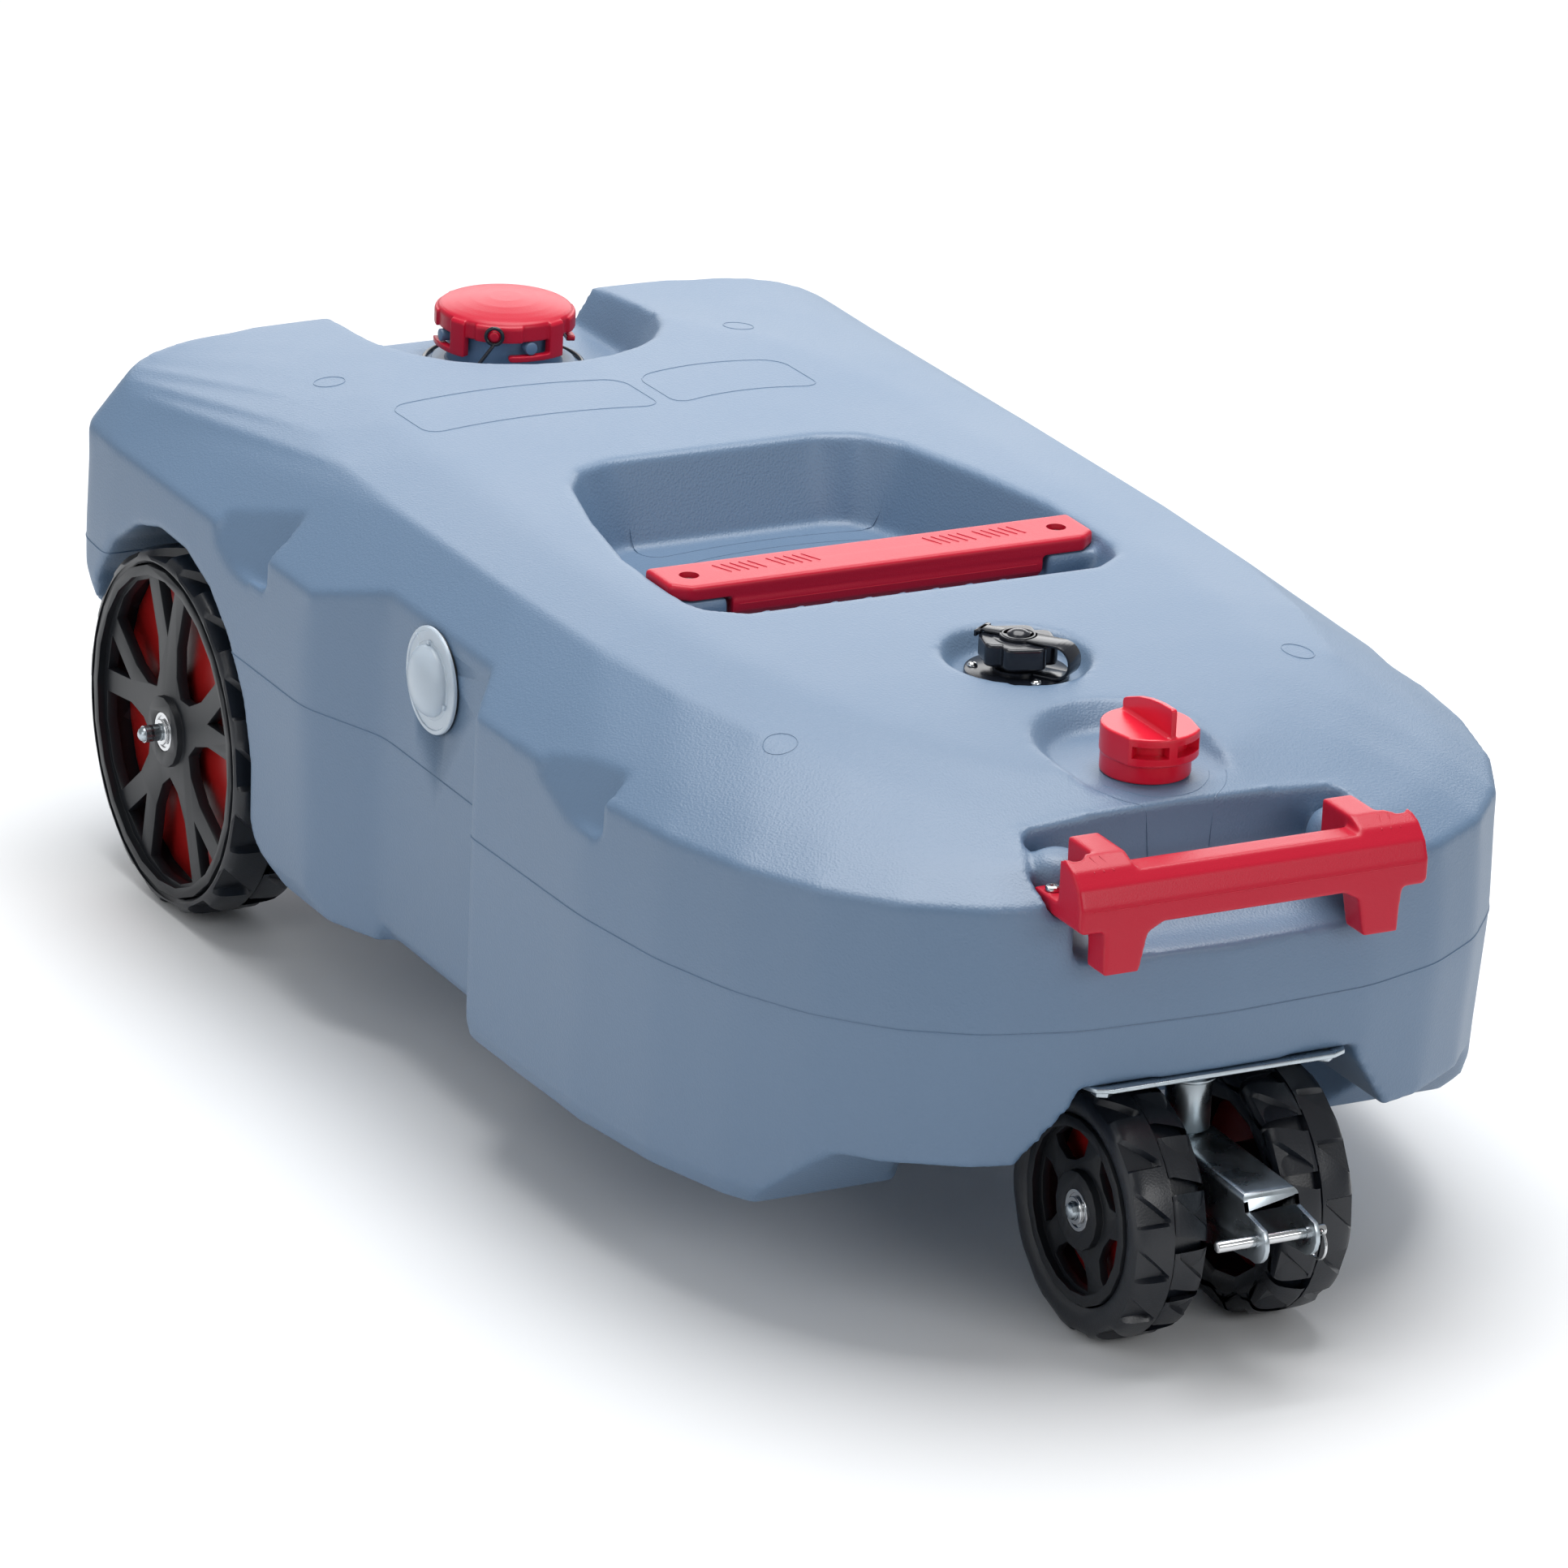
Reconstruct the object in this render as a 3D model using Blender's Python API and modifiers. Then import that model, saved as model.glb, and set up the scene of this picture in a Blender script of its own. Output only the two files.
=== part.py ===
"""Portable waste water tank: a moulded tank on two rear wheels and a towing caster.

Metres, +Z up.  X runs across the tank, the tow end faces -Y and the sewer inlet is at +Y.
Run with: blender --background --python part.py
"""
from math import acos, atan2, cos, degrees, hypot, pi, radians, sin, sqrt, tau

import bmesh
import bpy
from mathutils import Matrix, Vector

# Fits shared by the whole object
SEAT_GAP = 0.0003            # left between two pieces that touch
RUN_GAP = 0.0004             # radial play of a shaft in its bore
WALL = 0.0055                # wall of the moulded tank

# Tank outline: levels from the sole to the deck
HALF_WIDTH = 0.3115          # at the shoulder line
SEAM_PROUD = 0.0015          # draft from the shoulder down to the mould seam
SOLE_Z = 0.0765
SKIRT_Z = 0.094
LOW_Z = 0.2025
SEAM_Z = 0.225
SHOULDER_Z = 0.3078
RIDGE_Z = 0.3295
DECK_Z = 0.369
DECK_EDGE_Z = 0.3595
DECK_FALL = 0.024            # how far the deck drops at its front end
DECK_REAR_RISE = -0.0015
CROWN_REAR_FALL = 0.005
RIDGE_FALL = 0.006
RIDGE_REAR_RISE = 0.024
REAR_Y = 0.5652
FRONT_Y = -0.5544
NOSE_START_Y = -0.108        # where the plan starts to curve in to the front
TAIL_START_Y = 0.48
DECK_HALF_WIDTH = HALF_WIDTH - 0.064
CROWN_HALF_WIDTH = DECK_HALF_WIDTH - 0.0575
DECK_REAR_Y = 0.5508
DECK_FRONT_Y = -0.4905
RIDGE_HALF_WIDTH = HALF_WIDTH - 0.027
NOSE_POWER = 3.0             # superellipse powers of the plan corners
TAIL_POWER = 5.0
DECK_POWER = 2.4
OUTER_STEPS = 8              # points round each plan corner
HOLLOW_STEPS = 4

# Waist scoops in both sides and the four strap notches
WAIST_DEPTH = 0.0253
WAIST_X = HALF_WIDTH - WAIST_DEPTH
WAIST_REAR_Y = 0.080
WAIST_FRONT_Y = -0.0765
WAIST_REAR_FLARE = 2.727
WAIST_FRONT_FLARE = 1.15
NOTCH_YS = (0.262, -0.236)
NOTCH_LENGTH = 0.082
NOTCH_DEPTH = 0.014
NOTCH_HEIGHT = 0.062
NOTCH_YAW = radians(12)
NOTCH_LEAN = radians(24)

# Rear wheels
REAR_TYRE_R = 0.130
REAR_TYRE_W = 0.063
REAR_TYRE_DEPTH = 0.0117     # from the tread down to the bead
REAR_BEAD_R = REAR_TYRE_R - REAR_TYRE_DEPTH
REAR_WHEEL_PROUD = 0.0041    # how far the rear wheels stand out past the tank
REAR_OUTER_X = HALF_WIDTH + REAR_WHEEL_PROUD
REAR_AXLE_Y = 0.3753
REAR_RIM_LIP = 0.0073
REAR_LUGS = 13
REAR_SPOKES = 5
REAR_SPOKE_PHASE = radians(5)
REAR_HUB_R = 0.0253
ARCH_GAP = 0.012             # room round a rear tyre
ARCH_R = REAR_TYRE_R + ARCH_GAP
ARCH_Y = REAR_AXLE_Y + 0.0037
ARCH_Z = REAR_TYRE_R + 0.0023
ARCH_SIDE_GAP = 0.0076
ARCH_INNER_X = REAR_OUTER_X - REAR_TYRE_W - ARCH_SIDE_GAP

# Axles and bearings
AXLE_R = 0.006
BEARING_R = 0.014
BEARING_W = 0.008

REAR_INNER_FACE = ARCH_INNER_X + SEAT_GAP - (REAR_OUTER_X - REAR_TYRE_W / 2)

# Caster and its wheels
CASTER_Y = -0.511
FRONT_TYRE_R = 0.0846
FRONT_TYRE_W = 0.0522
FRONT_TYRE_DEPTH = 0.0221
FRONT_BEAD_R = FRONT_TYRE_R - FRONT_TYRE_DEPTH
FRONT_OUTER_X = 0.0792
FRONT_LUGS = 12
FRONT_SPOKES = 5
FRONT_SPOKE_PHASE = radians(24)
FRONT_HUB_R = 0.026
PLATE_Z = 0.1845             # underside of the tank over the caster
PLATE_HALF = 0.0945
PLATE_T = 0.0032
PLATE_FRONT_Y = -0.5535
PLATE_REAR_Y = -0.425
LOBE_Z = 0.1305              # underside of the front lobes
KEEL_FRONT_Y = -0.4095       # foot of the keel's slanted front face
KEEL_SLANT = 0.0585
SWING_R = 0.1845             # clear radius round the kingpin under the lobes
WELL_HALF_LOW = 0.135
WELL_HALF_HIGH = 0.1035
WELL_REAR_Y = -0.3915
KINGPIN_R = 0.0095
COLLAR_R = 0.015
CHANNEL_TOP_Z = 0.1305
CHANNEL_HALF = 0.0198
CHANNEL_T = 0.003
CHANNEL_WEB_T = 0.0055
COLLAR_TOP_Z = 0.1655
EAR_Y = -0.633
EAR_Z = 0.1035
EAR_R = 0.0145
PIN_R = 0.0037
PIN_EYE_R = 0.0024            # hole that the split ring hangs in
PIN_LEFT_X = -0.047
PIN_RIGHT_X = 0.0315
RING_R = 0.0098
RING_WIRE_R = 0.0012
ORIGIN_Y = -(REAR_Y + 0.001 + EAR_Y - EAR_R) / 2     # centres the whole length on the origin
NUT_R = 0.0155
NUT_H = 0.010
PIN_SHOULDER_R = 0.0125
WASHER_T = 0.0022

FRONT_INNER_FACE = CHANNEL_HALF + SEAT_GAP - (FRONT_OUTER_X - FRONT_TYRE_W / 2)

# Top handle and its pocket
TOP_HANDLE_Y = -0.0675
TOP_HANDLE_HALF = 0.160
TOP_HANDLE_W = 0.046
TOP_HANDLE_PROUD = 0.0027    # how far it stands above the deck's level
TOP_HANDLE_Z = DECK_Z + TOP_HANDLE_PROUD
TOP_FLANGE_T = 0.0112
TOP_GRIP_HALF = 0.117
TOP_GRIP_DEPTH = 0.027
TOP_SCREW_INSET = 0.0214
TOP_SCREW_X = TOP_HANDLE_HALF - TOP_SCREW_INSET
POCKET_FLOOR_Z = 0.3105
POCKET_FLARE = 0.022         # how far the pocket's walls lean outward over their height

# Front handle and its recess
HANDLE_HALF = 0.1253
HANDLE_FRONT_Y = -0.577
HANDLE_LEG_INSET = 0.0183    # from the bar's end to a leg's outer face
HANDLE_LEG_HALF = HANDLE_HALF - HANDLE_LEG_INSET
HANDLE_LEG_Z = 0.2723
HANDLE_BAR_Z = 0.3015
HANDLE_TOP_Z = 0.344
HANDLE_REAR_Y = -0.516
HANDLE_BAR_REAR_Y = -0.548
RECESS_REAR_Y = -0.487
HANDLE_GAP = 0.0025
HANDLE_SCREW_INSET = 0.0078
HANDLE_SCREW_X = HANDLE_HALF - HANDLE_SCREW_INSET
HANDLE_SCREW_Y = -0.527
HANDLE_TAB_T = 0.012         # the screwed tab behind each end block
HANDLE_TAB_FRONT_Y = -0.546

# Inlet, its bay and its bayonet cap
INLET_Y = 0.4923
BAY_R = 0.115
BAY_FLOOR_R = 0.090
BAY_FLOOR_Z = 0.3285
NECK_R = 0.041
NECK_BORE_R = 0.0365
NECK_TOP_Z = 0.3695
NECK_FLANGE_R = 0.052
NECK_FLANGE_T = 0.004
STUD_R = 0.0045
STUD_Z = 0.3555
STUD_TIP_R = 0.0502
STUD_PHASE = radians(-93)
STUDS = 4
CAP_R = 0.049
CAP_SKIRT_R = 0.0445
CAP_RIM_Z = 0.3748
CAP_DOME = 0.0055
HOOK_TIP_ANGLE = radians(19)     # how far a hook reaches past its stud
HOOK_ARM_ANGLE = radians(25)     # from the stud to the hook's arm
HOOK_ARM_HALF = radians(7)
HOOK_T = 0.0042
KNOB_ANGLE = radians(-124)
KNOB_R = 0.004
TETHER_R = 0.0014

# Vent and its screw cap
VENT_Y = -0.433
VENT_FLOOR_Z = 0.344
VENT_POCKET_Y = -0.4095
VENT_POCKET_R = 0.049
VENT_POCKET_FLARE = 1.05     # slope of the pocket's sides, outward per rise
VENT_NECK_R = 0.0215
VENT_BORE_R = 0.0155
VENT_NECK_Z = 0.3655
VENT_CAP_R = 0.0293
VENT_CAP_Z = 0.3768
VENT_FIN_Z = 0.396
VENT_TURN = radians(-90)     # which way the cap's air windows face
VENT_VISOR_R = 0.034
VENT_VISOR_HALF = radians(50)
VENT_VISOR_LOW_Z = 0.3577
VENT_VISOR_T = 0.0022        # wall of the visor in front of the windows
VENT_WINDOW_FROM = radians(5)
VENT_WINDOW_TO = radians(46)
VENT_WINDOW_LOW_Z = 0.3635
VENT_WINDOW_HIGH_Z = 0.3715

# Rinse port and its cap
RINSE_Y = -0.2645
RINSE_FLOOR_R = 0.042
RINSE_FLOOR_Z = 0.3515
RINSE_FLARE = 0.645          # slope of the recess's side, outward per rise
RINSE_FLANGE_R = 0.0345
RINSE_FLANGE_T = 0.0032
RINSE_NECK_R = 0.012
RINSE_NECK_H = 0.021
RINSE_BORE_R = 0.009
RINSE_CAP_R = 0.0244         # reach of the knob's four arms
RINSE_CAP_CORE_R = 0.0168
RINSE_CAP_H = 0.0255         # from the recess's floor to the top of the knob
RINSE_ARM_HALF = 0.0145
RINSE_ARM_CORNER = 0.006
RINSE_ARM_TURN = radians(-106)
STRAP_ANGLE = radians(-55)
STRAP_T = 0.0018
STRAP_HALF = 0.0085
STRAP_DISC_R = 0.0127
STRAP_BEND_R = 0.0298        # where the strap starts to bend down
STRAP_NECK_HALF = 0.005
STRAP_LIP = 0.0030

# Level window in the left waist wall
WINDOW_Y = 0.005
WINDOW_Z = 0.292
WINDOW_R = 0.0365
WINDOW_HOLE_R = 0.026
WINDOW_DOME = 0.0145

COLOURS = {
    "tank": ((0.30, 0.38, 0.50), 0.50, 0.0),
    "red": ((0.60, 0.01, 0.04), 0.35, 0.0),
    "black": ((0.02, 0.022, 0.028), 0.45, 0.0),
    "rubber": ((0.018, 0.02, 0.025), 0.65, 0.0),
    "dark_red": ((0.28, 0.008, 0.01), 0.40, 0.0),
    "zinc": ((0.62, 0.67, 0.70), 0.30, 1.0),
    "steel": ((0.72, 0.73, 0.74), 0.22, 1.0),
    "clear": ((0.80, 0.87, 0.92), 0.25, 0.0),
}


# Helpers

def clear_scene():
    for obj in list(bpy.data.objects):
        bpy.data.objects.remove(obj, do_unlink=True)


def make_collection(name):
    made = bpy.data.collections.new(name)
    bpy.context.scene.collection.children.link(made)
    return made


def make_material(name):
    colour, roughness, metallic = COLOURS[name]
    made = bpy.data.materials.new(name)
    made.use_nodes = True
    shader = made.node_tree.nodes["Principled BSDF"]
    shader.inputs["Base Color"].default_value = (*colour, 1.0)
    shader.inputs["Roughness"].default_value = roughness
    shader.inputs["Metallic"].default_value = metallic
    return made


def make_empty(name, location, parent=None, rotation=(0, 0, 0)):
    empty = bpy.data.objects.new(name, None)
    empty.location = location
    empty.rotation_euler = rotation
    empty.parent = parent
    parts.objects.link(empty)
    return empty


def place(name, mesh, finish=None, parent=None, smooth=False):
    """Put a mesh in the parts collection, or among the cutters if it has no finish."""
    obj = bpy.data.objects.new(name, mesh)
    obj.parent = parent or ground
    if finish:
        mesh.materials.append(materials[finish])
        parts.objects.link(obj)
    else:
        cutters.objects.link(obj)
        obj.hide_render = True
        obj.display_type = "WIRE"
    if smooth:
        mesh.shade_smooth()
        mesh.set_sharp_from_angle(angle=radians(35))
    return obj


def finish_bmesh(name, bm, finish=None, parent=None, smooth=False):
    mesh = bpy.data.meshes.new(name)
    bm.to_mesh(mesh)
    bm.free()
    return place(name, mesh, finish, parent, smooth)


def box(name, low, high, finish=None, parent=None):
    bm = bmesh.new()
    low, high = Vector(low), Vector(high)
    shape = Matrix.Translation((low + high) / 2) @ Matrix.Diagonal((*(high - low), 1.0))
    bmesh.ops.create_cube(bm, size=1.0, matrix=shape)
    return finish_bmesh(name, bm, finish, parent)


TURN = {
    "X": Matrix.Rotation(pi / 2, 4, "Y"),
    "Y": Matrix.Rotation(-pi / 2, 4, "X"),
    "Z": Matrix.Identity(4),
}


def rod(name, radius, low, high, centre=(0, 0), axis="Z", segments=24, end_radius=None,
        finish=None, parent=None, turn=None):
    """A cylinder or cone from low to high along an axis; centre is its place across the axis."""
    bm = bmesh.new()
    across = {"X": (0, *centre), "Y": (centre[0], 0, centre[1]), "Z": (*centre, 0)}[axis]
    shape = Matrix.Translation(across) @ TURN[axis] @ Matrix.Translation((0, 0, (low + high) / 2))
    if turn is not None:
        shape = turn @ shape
    bmesh.ops.create_cone(bm, cap_ends=True, segments=segments, radius1=radius,
                          radius2=radius if end_radius is None else end_radius,
                          depth=high - low, matrix=shape)
    return finish_bmesh(name, bm, finish, parent, smooth=finish is not None)


def turned(name, profile, segments=32, finish=None, parent=None, closed=True):
    """A turned piece about its own Z: the profile runs down its outer side."""
    mesh = bpy.data.meshes.new(name)
    edges = [(i, i + 1) for i in range(len(profile) - 1)]
    if closed:
        edges.append((len(profile) - 1, 0))
    mesh.from_pydata([(r, 0, z) for r, z in profile], edges, [])
    obj = place(name, mesh, finish, parent)
    screw = obj.modifiers.new("turn", "SCREW")
    screw.axis = "Z"
    screw.steps = screw.render_steps = segments
    screw.use_merge_vertices = True
    screw.merge_threshold = 0.00001
    screw.use_smooth_shade = True
    return obj


def ring_profile(inner, outer, low, high):
    return [(outer, high), (outer, low), (inner, low), (inner, high)]


def prism(name, outline, low, high, axis="Z", finish=None, parent=None, top=None):
    """A flat outline extruded along an axis; top is a second outline for a tapered prism."""
    bm = bmesh.new()
    orders = {"Z": lambda a, b, h: (a, b, h), "Y": lambda a, b, h: (a, h, b), "X": lambda a, b, h: (h, a, b)}
    order = orders[axis]
    base = [bm.verts.new(order(a, b, low)) for a, b in outline]
    lid = [bm.verts.new(order(a, b, high)) for a, b in (top or outline)]
    bm.faces.new(base)
    bm.faces.new(lid)
    count = len(outline)
    for i in range(count):
        bm.faces.new((base[i], base[(i + 1) % count], lid[(i + 1) % count], lid[i]))
    bmesh.ops.recalc_face_normals(bm, faces=bm.faces)
    return finish_bmesh(name, bm, finish, parent)


def grown(outline, distance):
    """The outline moved outward by a distance, for outlines that run counter-clockwise."""
    points = [Vector(p) for p in outline]
    result = []
    for i, point in enumerate(points):
        before = (point - points[i - 1]).normalized()
        after = (points[(i + 1) % len(points)] - point).normalized()
        normal = Vector((before.y + after.y, -before.x - after.x)).normalized()
        reach = distance / max(0.35, normal.dot(Vector((before.y, -before.x))))
        result.append(tuple(point + normal * reach))
    return result


def arc(centre, radius, start, end, steps):
    return [(centre[0] + radius * cos(start + (end - start) * i / steps),
             centre[1] + radius * sin(start + (end - start) * i / steps)) for i in range(steps + 1)]


def boolean(target, tools, operation="DIFFERENCE"):
    for tool in tools:
        step = target.modifiers.new(tool.name, "BOOLEAN")
        step.operation = operation
        step.solver = "EXACT"
        step.object = tool
    return target


def bevel(target, width, segments=1, angle=30):
    step = target.modifiers.new("edges", "BEVEL")
    step.width = width
    step.segments = segments
    step.limit_method = "ANGLE"
    step.angle_limit = radians(angle)
    step.harden_normals = False
    return target


def curve_piece(name, splines, depth=0.0, extrude=0.0, resolution=2, finish=None, parent=None,
                closed=False, flat=False):
    """A tube along a route, or a flat outline with its holes, made a mesh with welded caps."""
    data = bpy.data.curves.new(name + "_line", "CURVE")
    data.dimensions = "2D" if flat else "3D"
    data.bevel_depth = depth
    data.bevel_resolution = resolution
    data.extrude = extrude
    data.use_fill_caps = not flat
    if flat:
        data.fill_mode = "BOTH"
    for points in splines:
        spline = data.splines.new("POLY")
        spline.points.add(len(points) - 1)
        for slot, point in zip(spline.points, points):
            slot.co = (*point, 0.0, 1.0) if flat else (*point, 1.0)
        spline.use_cyclic_u = closed or flat
    line = bpy.data.objects.new(name + "_line", data)
    bpy.context.scene.collection.objects.link(line)
    bpy.context.view_layer.update()
    mesh = bpy.data.meshes.new_from_object(line.evaluated_get(bpy.context.evaluated_depsgraph_get()))
    bm = bmesh.new()
    bm.from_mesh(mesh)
    bmesh.ops.remove_doubles(bm, verts=bm.verts, dist=0.000005)
    bmesh.ops.recalc_face_normals(bm, faces=bm.faces)
    bm.to_mesh(mesh)
    bm.free()
    bpy.data.objects.remove(line, do_unlink=True)
    mesh.name = name
    mesh.materials.clear()
    return place(name, mesh, finish, parent, smooth=finish is not None)


# Moulded tank

def plan_ring(half_width, rear_y, tail_start, front_y, nose_start, tail_power, nose_power, height, steps):
    """One level of the tank: half the plan from the rear centre to the front centre."""
    points = []
    for i in range(steps + 1):
        angle = pi / 2 * (1 - i / steps)
        reach = sin(angle) ** (2 / tail_power)
        x = half_width * max(cos(angle), 0.0) ** (2 / tail_power)
        points.append((x, tail_start + (rear_y - tail_start) * reach, height(1, reach)))
    for i in range(steps + 1):
        angle = pi / 2 * i / steps
        reach = sin(angle) ** (2 / nose_power)
        x = half_width * max(cos(angle), 0.0) ** (2 / nose_power)
        points.append((x, nose_start + (front_y - nose_start) * reach, height(-1, reach)))
    points[0] = (0.0, *points[0][1:])
    points[-1] = (0.0, *points[-1][1:])
    return points


def level(z, fall=0.0, rear_rise=0.0, front_power=3, rear_power=2):
    def height(end, reach):
        if end < 0:
            return z - fall * reach ** front_power
        return z + rear_rise * reach ** rear_power
    return height


def tank_levels(inset, steps):
    """Rings from the sole to the deck; inset moves every wall inward for the hollow."""
    shoulder = (HALF_WIDTH, REAR_Y, TAIL_START_Y, FRONT_Y, NOSE_START_Y, TAIL_POWER, NOSE_POWER)

    def ring(width, rear, tail, front, nose, tail_power, nose_power, height):
        return plan_ring(width - inset, rear - inset, tail, front + inset, nose, tail_power, nose_power,
                         height, steps)

    skirt_draft = 0.001
    sole_draft = 0.010
    rear_tuck = 0.0837           # the tail runs forward under the wheels
    sole_tuck = 0.1017
    return [
        ring(HALF_WIDTH - sole_draft, REAR_Y - sole_tuck, 0.36, FRONT_Y + 0.030, NOSE_START_Y,
             TAIL_POWER, NOSE_POWER, level(SOLE_Z + inset)),
        ring(HALF_WIDTH - skirt_draft, REAR_Y - rear_tuck, 0.36, FRONT_Y + 0.0144, NOSE_START_Y,
             TAIL_POWER, NOSE_POWER, level(SKIRT_Z + inset / 2)),
        ring(HALF_WIDTH + SEAM_PROUD / 2, REAR_Y - 0.004, TAIL_START_Y, FRONT_Y + 0.001, NOSE_START_Y,
             TAIL_POWER, NOSE_POWER, level(LOW_Z)),
        ring(HALF_WIDTH + SEAM_PROUD, REAR_Y + 0.001, TAIL_START_Y, FRONT_Y - 0.0015, NOSE_START_Y,
             TAIL_POWER, NOSE_POWER, level(SEAM_Z)),
        ring(*shoulder, level(SHOULDER_Z - inset / 3)),
        ring(RIDGE_HALF_WIDTH, REAR_Y, 0.44, -0.5265, -0.09, 6.0, 2.8,
             level(RIDGE_Z - inset / 2, RIDGE_FALL, RIDGE_REAR_RISE, 2, 3)),
        ring(DECK_HALF_WIDTH, DECK_REAR_Y, 0.135, DECK_FRONT_Y, -0.018, DECK_POWER, DECK_POWER,
             level(DECK_EDGE_Z - inset, DECK_FALL, DECK_REAR_RISE)),
        ring(CROWN_HALF_WIDTH, DECK_REAR_Y - 0.06, 0.135, DECK_FRONT_Y + 0.045, -0.018, DECK_POWER, DECK_POWER,
             level(DECK_Z - inset, DECK_FALL * 0.8, -CROWN_REAR_FALL)),
    ]


def loft(name, levels, finish=None):
    """Skin the rings, with a ladder of faces across the sole and the deck."""
    bm = bmesh.new()
    rings = []
    for points in levels:
        right = [bm.verts.new(p) for p in points]
        left = [bm.verts.new((-x, y, z)) for x, y, z in points[1:-1]]
        rings.append(right + left[::-1])
    count = len(rings[0])
    half = len(levels[0])
    for lower, upper in zip(rings, rings[1:]):
        for i in range(count):
            j = (i + 1) % count
            bm.faces.new((lower[i], lower[j], upper[j], upper[i]))
    for ring in (rings[0], rings[-1]):
        for i in range(half - 1):
            right = (ring[i], ring[i + 1])
            left = (ring[-i] if i else ring[0], ring[-(i + 1)] if i + 1 < half - 1 else ring[half - 1])
            corners = [right[0], right[1], left[1], left[0]]
            bm.faces.new([v for k, v in enumerate(corners) if v not in corners[:k]])
    bmesh.ops.recalc_face_normals(bm, faces=bm.faces)
    return finish_bmesh(name, bm, finish)


def arch_outline(grow, steps):
    """Side view of a wheel arch: round over the wheel, flared at the front corner."""
    start = radians(-20)
    end = radians(188)
    points = arc((ARCH_Y, ARCH_Z), outside(ARCH_R, grow, 2 * steps), start, end, steps)
    foot_z = SOLE_Z - 0.05
    flare_y = ARCH_Y - ARCH_R - 0.045 - grow
    shoulder_y = ARCH_Y - ARCH_R - 0.006 - grow
    return points + [(shoulder_y, 0.102), (flare_y, SOLE_Z - 0.002), (flare_y, foot_z),
                     (ARCH_Y + ARCH_R, foot_z)]


def pocket_outline(spread=0.0):
    """Plan of the pocket round the top handle, counter-clockwise."""
    half = TOP_HANDLE_HALF + 0.0012
    front = TOP_HANDLE_Y - 0.072
    right = [(0.1305, front), (half - 0.006, front + 0.017), (half, front + 0.034), (half, -0.016),
             (0.146, 0.063), (0.127, 0.1305), (0.108, 0.157), (0.080, 0.168)]
    outline = right + [(-x, y) for x, y in reversed(right)]
    return grown(outline, spread)


def recess_floor(name, grow):
    """Side outline of the hand space behind the front handle, extruded across it."""
    half = HANDLE_LEG_HALF + HANDLE_GAP + 0.0015 + grow
    floor = HANDLE_LEG_Z - SEAT_GAP - grow
    outline = [(-0.72, floor), (-0.552 + grow, floor), (-0.530 + grow, floor + 0.003),
               (RECESS_REAR_Y + grow, floor + 0.022), (RECESS_REAR_Y + 0.008 + grow, 0.45), (-0.72, 0.45)]
    return prism(name, outline, -half, half, axis="X")


def outside(radius, grow, segments):
    """A grown radius whose flats, and not its corners, keep the wall."""
    return radius if grow == 0 else (radius + grow) / cos(pi / segments)


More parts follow.
